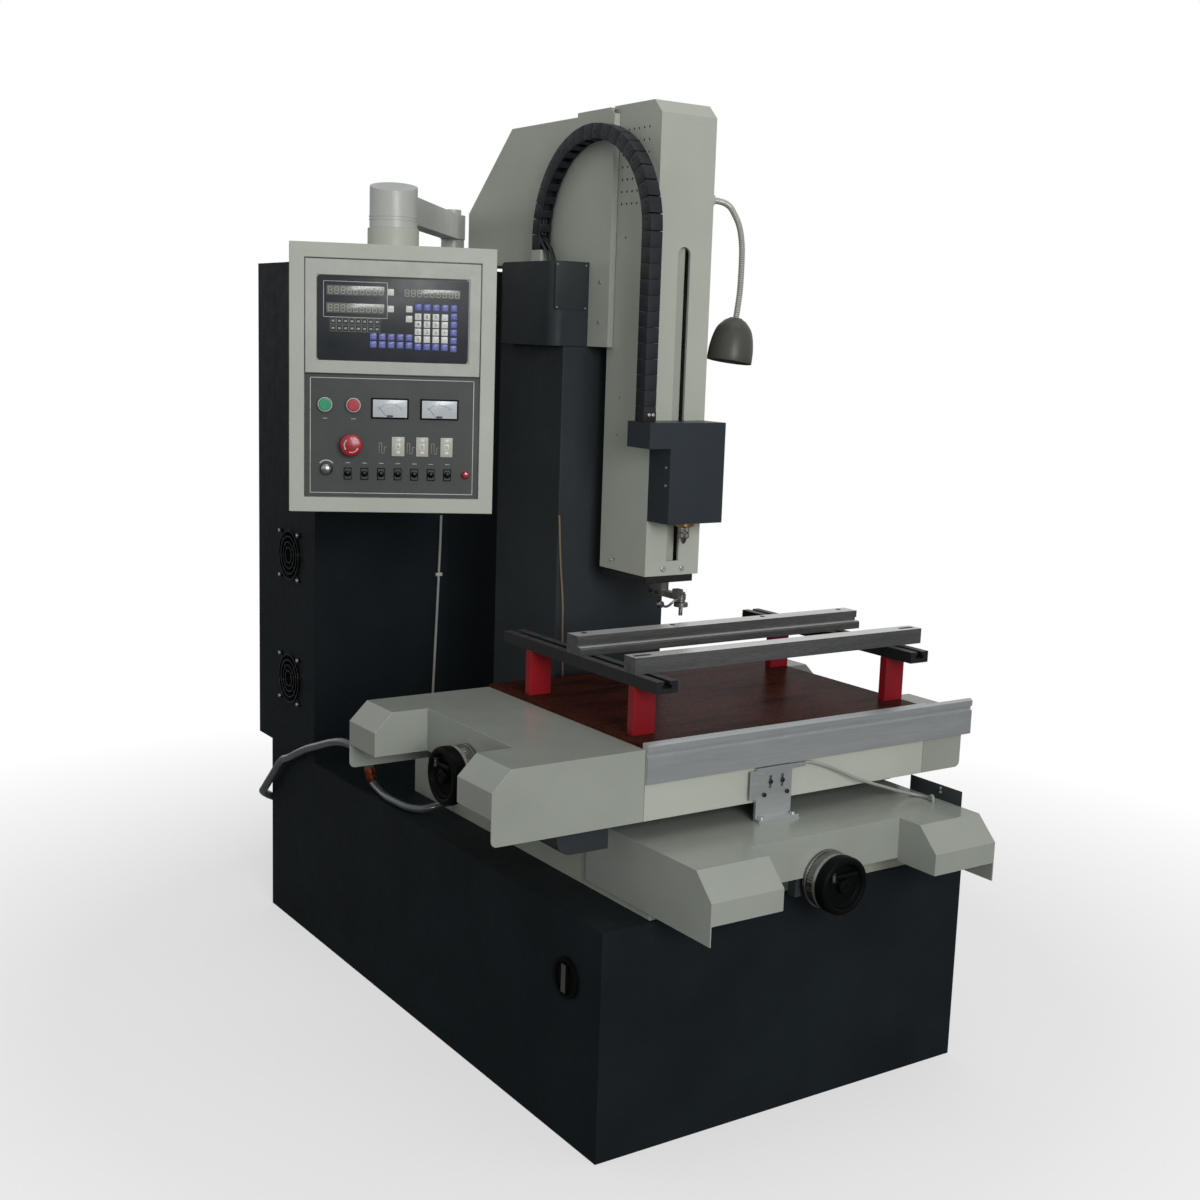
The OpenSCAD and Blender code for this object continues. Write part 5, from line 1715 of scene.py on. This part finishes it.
    def build_switches(self) -> None:
        """Toggles, knob and pilot lamp."""
        p = self.panel
        for i in range(len(self.toggles)):
            self.stand_for(f"toggle_{i + 1}", BLACK_OXIDE, 0.0003, 1)
        nut = [(4.5, 3.3), (6.8, 3.3), (6.8, 4.6), (5.6, 5.2), (4.5, 5.2), (4.5, 3.3)]
        nuts = [self.ring("toggle_nut", u, -184, nut, p, 6) for u in self.toggles]
        self.put(joined("toggle_nuts", nuts), "black_plastic", BLACK_PLASTIC)
        rims = [self.frame_lines("rim", (u - 7.5, u + 7.5), (-195.5, -172.5), (p - 3.4, p + 0.1), 1.4)
                for u in self.toggles]
        self.put(joined("toggle_rims", rims), "black_plastic", BLACK_PLASTIC)
        knob = [(0, 0.3), (12.6, 0.3), (12.9, 1.2), (12.4, 5.5), (11.2, 10), (9.4, 13.2), (6, 15.3),
                (0, 16)]
        self.cap("power_knob", "power_knob_dome", self.knob_at, knob, KNOB_METAL, 40)
        lens = [(0, 0), (8.5, 0), (8.5, 2.4), (7.4, 3.0), (7.0, 6.0), (5.4, 8.4), (0, 9.4)]
        self.put(self.ring("pilot_lamp", 145, -183, lens, p, 32), "red_cap", LAMP_LENS)

    def build(self) -> None:
        """Makes the whole pendant."""
        self.build_arm()
        self.build_read_out()
        self.build_panel()
        self.build_buttons()
        self.build_meters()
        self.build_thumbwheels()
        self.build_switches()


# ---- vertical axes ----


@dataclass
class VerticalAxis(SubAssembly):
    """Casing, its band, base plate, guide arm, head and spindle."""

    edge: float = 0.0016
    screw_x: tuple = (-0.023, 0.024)
    side_screws: tuple = ((0.122, 0.018), (0.112, 0.275))
    cover_screw_z: tuple = (1.170, 1.135)
    vent_at: tuple = (0.039, 1.815)
    vent_pitch: tuple = (0.0174, 0.0235)
    chuck_top: float = 0.044
    flutes: int = 72
    flute_waist: float = 0.955
    spindle: Vector = field(default_factory=lambda: Vector(joint("spindle_spin")["pos_m"]))

    def build_casing(self) -> None:
        """Casing with its screws, band and base plate, and dark discs of painted shade in its vent holes."""
        self.stand_for("casing", LIGHT_PAINT, self.edge)
        self.stand_for("slot_band", BED_PAINT, 0.0003, 1)
        self.stand_for("casing_base", BLACK_OXIDE, 0.001)
        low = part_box("casing")[0]
        rows = [((x, low.y, low.z + 0.014), FRONT, Head.CASING) for x in self.screw_x]
        rows += [((low.x, low.y + y, low.z + z), LEFT, Head.SIDE) for y, z in self.side_screws]
        self.screws("casing_screws", "w_axis", ZINC, rows)
        # Black discs just inside the vent holes: painted shade where the holes look into the casing.
        shade_disc = [(0, 0), (0.00245, 0), (0.00245, 0.0006), (0, 0.0006)]
        x, y, z = low.x + 0.0012, low.y + self.vent_at[0], self.vent_at[1]
        dy, dz = self.vent_pitch
        shade_discs = [turned("vent", shade_disc, (x, y + dy * i, z - dz * k), LEFT, 12)
                 for i in range(6) for k in range(7)]
        self.add(joined("vent_painted_shade", shade_discs), "w_axis", "black_plastic", BLACK_PLASTIC)

    def build_head(self) -> None:
        """Head cover, carriage and the screws on the ear."""
        self.stand_for("head_cover", HEAD_PAINT, 0.0022, 3)
        self.stand_for("head_carriage", ZINC, 0.0005, 1)
        side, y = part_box("casing")[0].x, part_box("head_cover")[0].y + 0.012
        self.screws("cover_screws", "head", ZINC,
                    [((side, y, z), LEFT, Head.COVER) for z in self.cover_screw_z])

    def build_spindle(self) -> None:
        """Tan flange, bright chuck and electrode nose."""
        at = (self.spindle.x, self.spindle.y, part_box("spindle_chuck")[0].z)
        t = self.chuck_top
        flange = [(0, t - 0.0085), (0.018, t - 0.0085), (0.0195, t - 0.0072), (0.0195, t - 0.0052),
                  (0.0182, t - 0.0046), (0.0182, t - 0.0038), (0.0195, t - 0.0032), (0.0195, t - 0.0016),
                  (0.0188, t - 0.001), (0, t - 0.001)]
        self.add(turned("spindle_flange", flange, at), "spindle", "brass", BRASS, ["spindle_chuck"])
        sleeve = [(0, t - 0.032), (0.0095, t - 0.032), (0.0108, t - 0.030), (0.0108, t - 0.0225),
                  (0.0098, t - 0.0215), (0.0098, t - 0.0198), (0.0108, t - 0.0188), (0.0108, t - 0.0105),
                  (0.0095, t - 0.0085), (0, t - 0.0085)]
        chuck = turned("drill_chuck", sleeve, at, steps=self.flutes)
        middle = self.spindle.y
        with editing(chuck) as mesh:
            for vert in mesh.verts:
                around = math.atan2(vert.co.y - middle, vert.co.x)
                far = math.hypot(vert.co.x, vert.co.y - middle)
                if far > 0.0106 and round(around / (math.tau / self.flutes)) % 2:
                    vert.co.x *= self.flute_waist
                    vert.co.y = middle + (vert.co.y - middle) * self.flute_waist
            bmesh.update_edit_mesh(chuck.data)
        self.add(smooth(chuck, 20), "spindle", "brass", CHUCK_STEEL)
        nose = [(0, t - 0.044), (0.0012, t - 0.044), (0.003, t - 0.0432), (0.0066, t - 0.034),
                (0.0074, t - 0.032), (0, t - 0.032)]
        self.add(turned("chuck_nose", nose, at, steps=40), "spindle", "brass", CHUCK_STEEL)

    def build_guide(self) -> None:
        """Guide arm, clamp block with its screws, curved feed tube and knurled nut."""
        self.stand_for("guide_arm", TURNED_STEEL, 0.0006, 2)
        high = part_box("guide_arm")[1]
        y = self.spindle.y
        rows = [((0.009 * side[0], y + 0.070 + 0.022 * i, high.z - 0.024), side, Head.GUIDE)
                for side in (RIGHT, LEFT) for i in range(2)]
        self.screws("guide_screws", "w_axis", BLACK_OXIDE, rows)
        bend = smoothed_path([(-0.010, y, high.z - 0.028), (-0.016, y - 0.008, high.z - 0.026),
                              (-0.026, y - 0.010, high.z - 0.030), (-0.032, y - 0.004, high.z - 0.038),
                              (-0.034, y + 0.006, high.z - 0.042), (-0.034, y + 0.022, high.z - 0.040)], 5)
        feed = as_mesh(tube("water_feed_tube", bend, 0.0025))
        self.add(smooth(feed), "w_axis", "bare_steel", TURNED_STEEL)
        profile = [(0, 0), (0.006, 0), (0.0072, 0.001), (0.0072, 0.007), (0.006, 0.008), (0, 0.008)]
        nut = turned("feed_nut", profile, (-0.034, y + 0.018, high.z - 0.040), REAR, 20, 15)
        self.add(nut, "w_axis", "bare_steel", CHUCK_STEEL)

    def build(self) -> None:
        """Makes everything on the vertical axes."""
        self.build_casing()
        self.build_head()
        self.build_spindle()
        self.build_guide()


@dataclass
class EnergyChain(SubAssembly):
    """Energy chain of equal links in two runs, with the cables inside."""

    wall: float = 0.003
    play: float = 0.0004
    link_pitch: float = 0.0305
    links_front: int = 12
    cables: tuple = ((-0.0065, 0.0038), (0.0015, 0.0045), (0.0085, 0.003))
    tails: tuple = ((-0.008, 0.0), (-0.001, 0.007), (0.006, 0.002))
    tail_r: float = 0.0032

    def __post_init__(self) -> None:
        """Finds the bow and the straight runs in the frame."""
        low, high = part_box("chain_arch")
        self.leg_low, self.leg_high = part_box("chain_right")
        self.rear_low, rear_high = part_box("chain_left")
        self.wide, self.tall = high.x - low.x, self.leg_high.y - self.leg_low.y
        self.x, self.mid_y = (low.x + high.x) / 2, (low.y + high.y) / 2
        self.r = (high.y - low.y) / 2 - self.tall / 2
        self.z0 = rear_high.z
        self.foot = rear_high.z - self.rear_low.z
        self.whole = self.foot + math.pi * self.r

    def link(self, pitch: float) -> Piece:
        """One link, lying along +Z at the origin.

        Args:
            pitch: length between its pins.

        Returns:
            The link.
        """
        w, t, p, e = self.wide / 2, self.tall / 2, pitch / 2, self.play
        parts = [plate("cover", (-w + e, t - self.wall, -p * 0.99), (w - e, t, p * 0.99), Axis.Y, 0.0006),
                 plate("bar", (-w + e, -t, -p * 0.5), (w - e, -t + self.wall, p * 0.5), Axis.Y, 0.0012)]
        boss = [(0, -0.0004), (0.0034, -0.0004), (0.0034, 0.0001), (0.003, 0.0003), (0, 0.0003)]
        for side in (-1, 1):
            left, right = sorted((side * w, side * (w - self.wall)))
            parts.append(plate("side", (left, -t + e, -p * 0.992), (right, t - e, p * 0.992), Axis.X,
                               0.0012))
            parts.append(turned("boss", boss, (side * w, 0, -p * 0.55), (side, 0, 0), 16))
        return joined("chain_link", parts)

    def run(self, name: str, pitch: float, stations: Sequence[tuple[Vector, float]]) -> Piece:
        """Links of a pitch at stations of a place and a turn about X."""
        return repeated(name, self.link(pitch), [Matrix.Translation(spot) @ Matrix.Rotation(turn, 4, "X")
                                                 for spot, turn in stations])

    def station(self, s: float) -> tuple[Vector, float]:
        """Place and turn of the chain at a distance from its rear end.

        Args:
            s: the distance in metres.

        Returns:
            The place, and the turn about X.
        """
        if s < self.foot:
            return Vector((self.x, self.mid_y + self.r, self.z0 - self.foot + s)), 0.0
        a = (s - self.foot) / self.r
        return Vector((self.x, self.mid_y + self.r * math.cos(a), self.z0 + self.r * math.sin(a))), a

    def flex(self, piece: Piece, finish: Finish, behind: tuple[str, Point], ahead: tuple[str, Point],
             *nodes: str) -> None:
        """Dresses a run of the chain, hides the CAD nodes it replaces, and puts its place into its mesh.

        Args:
            piece: the run.
            finish: its finish.
            behind: the body at its start, and where that is; not used.
            ahead: the body at its end, and where that is; not used.
            nodes: CAD nodes that it replaces.
        """
        dress(piece, finish)
        if nodes:
            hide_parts(*nodes)
        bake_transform(piece)

    def build(self) -> None:
        """Makes both runs of the chain, its cables, the front end bracket and the cables at its rear end."""
        x, front_y = self.x, self.mid_y - self.r
        rear = ("machine", (x, self.mid_y + self.r + 0.01, self.z0))
        count = round(self.whole / self.link_pitch)
        pitch = self.whole / count
        arch = self.run("chain_arch_links", pitch, [self.station((i + 0.5) * pitch) for i in range(count)])
        self.flex(arch, CHAIN_PLASTIC, rear, ("w_axis", (x, front_y, self.z0)), "chain_left", "chain_arch")
        top, foot = self.leg_high.z, self.leg_low.z
        step = (top - foot) / self.links_front
        places = [(Vector((x, front_y, top - (i + 0.5) * step)), math.pi) for i in range(self.links_front)]
        leg = self.run("chain_front_links", step, places)
        front = ("head", (x, front_y, foot))
        self.flex(leg, CHAIN_PLASTIC, ("w_axis", (x, front_y, top)), front, "chain_right")
        bow = [self.station(self.whole * i / 60)[0] for i in range(61)]
        self.flex(self.bundle("chain_cables_arch", bow), CABLE_BLACK, rear,
                  ("w_axis", (x, front_y, self.z0)))
        drop = [Vector((x, front_y, self.z0 - (self.z0 - foot) * i / 24)) for i in range(25)]
        self.flex(self.bundle("chain_cables_front", drop), CABLE_BLACK, ("w_axis", (x, front_y, self.z0)),
                  front)
        self.build_ends()
        LOG.info("chain of %d and %d links", count, self.links_front)

    def bundle(self, name: str, line: Sequence[Vector]) -> Piece:
        """The black cables inside the chain, side by side along a line."""
        return smooth(joined(name, [as_mesh(tube("cable", [p + Vector((off, 0, 0)) for p in line], radius))
                                    for off, radius in self.cables]))

    def build_ends(self) -> None:
        """Front end bracket with its screws, and the cables that leave the chain's rear end."""
        x, y, z = self.x, self.leg_low.y, self.leg_low.z
        wing = plate("chain_bracket", (x - 0.0125, y - 0.0016, z), (x + 0.0135, y, z + 0.021), Axis.Y,
                     0.003)
        self.add(wing, "head", "black_metal", BLACK_OXIDE)
        self.screws("chain_bolts", "head", ZINC, [((x + dx, y - 0.0016, z + 0.0135), FRONT, Head.CHAIN)
                                                  for dx in (-0.0035, 0.0055)])
        y, z, top = self.mid_y + self.r, self.rear_low.z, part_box("column_head")[1].z
        tails = []
        for dx, lean in self.tails:
            line = smoothed_path([(x + dx, y - 0.004, z + 0.030), (x + dx, y - 0.016 - lean, z + 0.014),
                                  (x + dx, y - 0.034 - lean, z - 0.004),
                                  (x + dx, y - 0.046 - lean, top - 0.002)])
            tails.append(as_mesh(tube("tail", line, self.tail_r)))
        self.add(smooth(joined("chain_tails", tails)), "machine", "black_plastic", CABLE_BLACK)


@dataclass
class WorkLamp(SubAssembly):
    """Lamp on a ribbed gooseneck."""

    neck_r: float = 0.0065
    rib: float = 0.0042
    route: tuple = ((0, 0), (8, 0), (19, -0.7), (32, -3), (46, -10), (58, -24), (69, -41), (76, -62),
                    (80, -86), (81, -111), (81, -140), (80, -170), (77, -198), (73, -225))

    def build(self) -> None:
        """Makes the gooseneck, shade and bulb."""
        low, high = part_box("lamp_gooseneck")
        y = (low.y + high.y) / 2
        top = high.z - self.neck_r
        points = [(low.x + a * MM, y, top + b * MM) for a, b in self.route]
        line = smoothed_path(points, 8)
        even = self.evenly(line, self.rib / 2)
        neck = as_mesh(tube("gooseneck_hose", even, self.neck_r, (self.rib, 0.0011)))
        self.add(smooth(neck, 50), "w_axis", "gooseneck", GOOSENECK, ["lamp_gooseneck"])
        end = Vector(points[-1])
        back = (Vector(points[-2]) - end).normalized()
        out = [(0, 0), (0.0125, 0), (0.0135, -0.001), (0.0165, -0.003), (0.0212, -0.0055), (0.0248, -0.009),
               (0.029, -0.0135), (0.0328, -0.018), (0.0362, -0.024), (0.0384, -0.030), (0.0407, -0.038),
               (0.0424, -0.046), (0.0438, -0.055), (0.0449, -0.064), (0.0454, -0.076), (0.0454, -0.0865),
               (0.045, -0.0878), (0.0438, -0.0878), (0.0434, -0.0865)]
        inside = [(0.043, -0.078), (0.0422, -0.066), (0.0402, -0.052), (0.0352, -0.036), (0.0285, -0.0252),
                  (0.0, -0.025)]
        shade = turned("lamp_dome", out + inside, end, back, 72)
        self.add(shade, "w_axis", "lamp_grey", LAMP_PAINT, ["lamp_shade"])
        bulb = [(0, -0.025), (0.011, -0.025), (0.013, -0.036), (0.0175, -0.046), (0.0195, -0.056),
                *arc(0.0195, (0, -0.057), -15, -75, 4), (0, -0.0765)]
        self.add(turned("lamp_bulb", bulb, end, back, 40), "w_axis", "lamp_grey", BULB)

    @staticmethod
    def evenly(line: Sequence[Vector], step: float) -> list[Vector]:
        """The same line with its points an even step apart.

        Args:
            line: the line's points.
            step: the step in metres.

        Returns:
            The new points.
        """
        made, left = [line[0]], step
        for a, b in zip(line, line[1:]):
            gone, whole = 0.0, (b - a).length
            while whole - gone >= left:
                gone += left
                made.append(a.lerp(b, gone / whole))
                left = step
            left -= whole - gone
        return [*made, line[-1]]


# ---- cross slide ----


@dataclass
class Handwheel(SubAssembly):
    """A dished handwheel with its graduated dial and folding handle."""

    axis_name: str
    outward: tuple
    wheel_body: str
    grip_body: str
    wheel_node: str
    grip_node: str
    dial_r: float = 54.0
    dial_w: float = 28.0
    rim_r: float = 53.5
    face: float = 56.0
    handle: tuple = (0.026, -0.0505, 0.020)
    knurls: int = 120
    knurl_depth: float = 0.0007
    divisions: int = 100

    def __post_init__(self) -> None:
        """Finds the wheel's centre and its turn from the frame."""
        self.centre = Vector(joint(self.axis_name)["pos_m"])
        out = Vector(self.outward)
        side = out.cross(Vector(UP))
        turn = Matrix((side, -out, Vector(UP))).transposed().to_4x4()
        self.place = Matrix.Translation(self.centre) @ turn

    def lathe(self, name: str, profile: Sequence[Point], steps: int = 96) -> Piece:
        """A turned piece round the wheel's axis, its height running outward."""
        return turned(name, [(r * MM, h * MM) for r, h in profile], self.centre, self.outward, steps)

    def build_dial(self) -> None:
        """Silver dial with engraved lines and a knurled band."""
        d, w = self.dial_r, self.dial_w
        profile = [(0, 0.2), (d - 0.8, 0.2), (d, 1.0), (d, 6.6), (d - 0.6, 7.2), (d - 3, 7.6), (d - 3, 9),
                   (d - 1.7, 9.6), (d - 1.7, w - 4.4), (d - 2.6, w - 3.6), (d - 6, w), (0, w)]
        dial = self.lathe(f"{self.wheel_node}_dial", profile, self.knurls)
        centre, out = self.centre, Vector(self.outward)
        with editing(dial) as mesh:
            for vert in mesh.verts:
                rel = vert.co - centre
                high = rel.dot(out)
                flat = rel - out * high
                if 0.0094 < high < (w - 4.2) * MM and flat.length > (d - 2.2) * MM:
                    side = flat.dot(out.cross(Vector(UP)))
                    if round(math.atan2(flat.z, side) / (math.tau / self.knurls)) % 2:
                        vert.co -= flat.normalized() * self.knurl_depth
            bmesh.update_edit_mesh(dial.data)
        self.add(smooth(dial, 25), self.wheel_body, "bare_steel", TURNED_STEEL)
        line = block("line", (-0.00025, -0.0062, (d - 0.25) * MM), (0.00025, -0.0035, (d + 0.06) * MM), 0.0)
        ticks = repeated(f"{self.wheel_node}_lines", line,
                         [self.place @ Matrix.Rotation(math.tau * i / self.divisions, 4, "Y")
                          for i in range(self.divisions)])
        self.add(ticks, self.wheel_body, "black_metal", DARK_INK)

    def build_wheel(self) -> None:
        """Black dished wheel with its hub and handle lugs."""
        r, f, w = self.rim_r, self.face, self.dial_w
        profile = [(0, w - 0.6), (r - 8, w - 0.6), *arc(8, (r - 8, w + 7.4), -90, 0, 6),
                   *arc(7, (r - 7, f - 7), 0, 90, 6), (r - 10, f - 0.3), (r - 12, f - 1.6), (r - 14, f - 8),
                   (r - 17, f - 10.6), (16, f - 11.4), (14, f - 10.6), (13.2, f - 2.6), (12.2, f - 1.0),
                   (10, f), (6, f), (5, f - 1.5), (0, f - 1.5)]
        self.add(self.lathe(f"{self.wheel_node}_dish", profile), self.wheel_body, SLOT_OF[self.wheel_node],
                 BLACK_PLASTIC, [self.wheel_node])
        x, y, z = self.handle
        lugs = [block("lug", (x - 0.004, y - 0.004, z + a * MM), (x + 0.005, y + 0.006, z + b * MM), 0.0012)
                for a, b in ((5.8, 8.8), (-8.8, -5.8))]
        piece = joined(f"{self.wheel_node}_lugs", lugs)
        piece.data.transform(self.place)
        self.add(piece, self.wheel_body, SLOT_OF[self.wheel_node], BLACK_OXIDE)

    def build_grip(self) -> None:
        """Folding handle lying across the dish, on its pin."""
        at = self.place @ Vector(self.handle)
        along = (self.place.to_3x3() @ Vector((-1, 0, 0))).normalized()
        profile = [(0, 1), (3, 1), (3, 8), (4.2, 9), (5, 10.4), (4.6, 16), (4.2, 22), (4.6, 34), (5.1, 44),
                   (5.2, 48), (4.9, 51.5), (4.0, 53.8), (2, 54.9), (0, 55)]
        handle = turned(f"{self.grip_node}_grip", [(a * MM, b * MM) for a, b in profile], at, along, 40)
        self.add(handle, self.grip_body, SLOT_OF[self.grip_node], BLACK_PLASTIC, [self.grip_node])
        rods = []
        for name, radius, half, steps in (("knuckle", 3.9, 5.4, 32), ("pin", 1.9, 8.4, 24)):
            r, h = radius * MM, half * MM
            rods.append(turned(name, [(0, -h), (r, -h), (r, h), (0, h)], at, UP, steps))
        self.add(joined(f"{self.grip_node}_pin", rods), self.grip_body, "bare_steel", TURNED_STEEL)

    def build(self) -> None:
        """Makes the whole handwheel."""
        self.build_dial()
        self.build_wheel()
        self.build_grip()


@dataclass
class CrossSlide(SubAssembly):
    """Saddle, front cover, feed screws, handwheels and the read-out bracket."""

    edge: float = 0.0018
    bracket_screws: tuple = ((-0.062, 0.049), (-0.008, 0.049), (-0.048, 0.072), (-0.020, 0.072))
    foot_screws: tuple = (-0.070, 0.004)
    guard_low: tuple = (0.334, -0.800, 0.553)
    guard_high: tuple = (0.3365, -0.665, 0.584)
    guard_screw_z: tuple = (0.578, 0.570)

    def build(self) -> None:
        """Makes the saddle and all that rides on it."""
        self.stand_for("saddle", CASTING_PAINT, 0.0025)
        # Front cover in the darker enamel copy: painted shade under the table.
        self.stand_for("y_cover", SHADED_COVER_PAINT, self.edge)
        self.stand_for("y_screw", TURNED_STEEL, 0.0006, 1)
        self.stand_for("x_screw", TURNED_STEEL, 0.0006, 1)
        self.stand_for("scale_bracket", ALUMINIUM, 0.0006)
        self.build_bracket_screws()
        self.build_guard()
        Handwheel("y_wheel_turn", FRONT, "y_wheel", "y_grip", "y_handwheel", "y_handle").build()
        Handwheel("x_wheel_turn", LEFT, "x_wheel", "x_grip", "x_handwheel", "x_handle").build()

    def build_bracket_screws(self) -> None:
        """Screws of the read-out bracket and its foot."""
        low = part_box("scale_bracket")[0]
        self.screws("bracket_screws", "saddle", BLACK_OXIDE,
                    [((x, low.y + 0.012, low.z + z), FRONT, Head.BRACKET) for x, z in self.bracket_screws])
        self.screws("foot_screws", "saddle", ZINC,
                    [((x, low.y + 0.0065, low.z + 0.006), UP, Head.FOOT) for x in self.foot_screws])

    def build_guard(self) -> None:
        """Small dark upright plate at the right of the cover's roof, with two screws."""
        wall = block("cover_guard", self.guard_low, self.guard_high, 0.0008)
        self.add(wall, "saddle", "dark_paint", DATA_PAINT)
        self.screws("guard_screws", "saddle", ZINC,
                    [((self.guard_low[0], -0.747, z), LEFT, Head.GUARD) for z in self.guard_screw_z])


@dataclass
class WorkTable(SubAssembly):
    """Table, granite, edge profile, skirts and the fixture."""

    edge: float = 0.0018
    bar_screw_insets: tuple = (0.030, 0.235)

    def build(self) -> None:
        """Makes all that rides on the table."""
        self.stand_for("table_body", CASTING_PAINT, 0.002)
        self.stand_for("granite_top", STONE, 0.0015)
        self.stand_for("edge_profile", ALUMINIUM, 0.0005)
        self.stand_for("front_panel", LIGHT_PAINT, self.edge)
        # End covers in the darker enamel copy: painted shade low under the table top.
        self.stand_for("x_cover_left", SHADED_COVER_PAINT, self.edge)
        self.stand_for("x_cover_right", SHADED_COVER_PAINT, self.edge)
        self.build_fixture()

    def build_fixture(self) -> None:
        """Rails, pillars and ground bars with their screws."""
        rails = self.stand_for("fixture_rails", BLACK_OXIDE, 0.0006)
        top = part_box("fixture_rails")[1].z
        dress_where(rails, BAR_SIDE, lambda c, n: n.z > 0.9 and c.z > top - 0.0008)
        self.stand_for("fixture_pillars", PILLAR_PAINT, 0.001)
        bars = self.stand_for("fixture_bars", BAR_SIDE, 0.0008)
        low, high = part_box("fixture_bars")
        dress_where(bars, GROUND_STEEL, lambda c, n: n.z > 0.8 and c.z > low.z + 0.012)
        near, far = self.bar_screw_insets
        places = (low.x + near, low.x + far, high.x - far, high.x - near)
        self.screws("bar_screws", "table", BLACK_OXIDE,
                    [((x, high.y - 0.012, high.z), UP, Head.BAR) for x in places])


def main() -> None:
    """Builds every sub-assembly in order and reports each piece."""
    logging.basicConfig(level=logging.INFO, format="%(name)s: %(message)s")
    assemblies = [Studio(), Hoses(), Base(), Hood(), ElectricalCabinet(), Pendant(), VerticalAxis(),
                  EnergyChain(), WorkLamp(), CrossSlide(), WorkTable()]
    for assembly in assemblies:
        assembly.build()
        LOG.info("%s done", type(assembly).__name__)
    deselect()


if __name__ == "__main__":
    main()
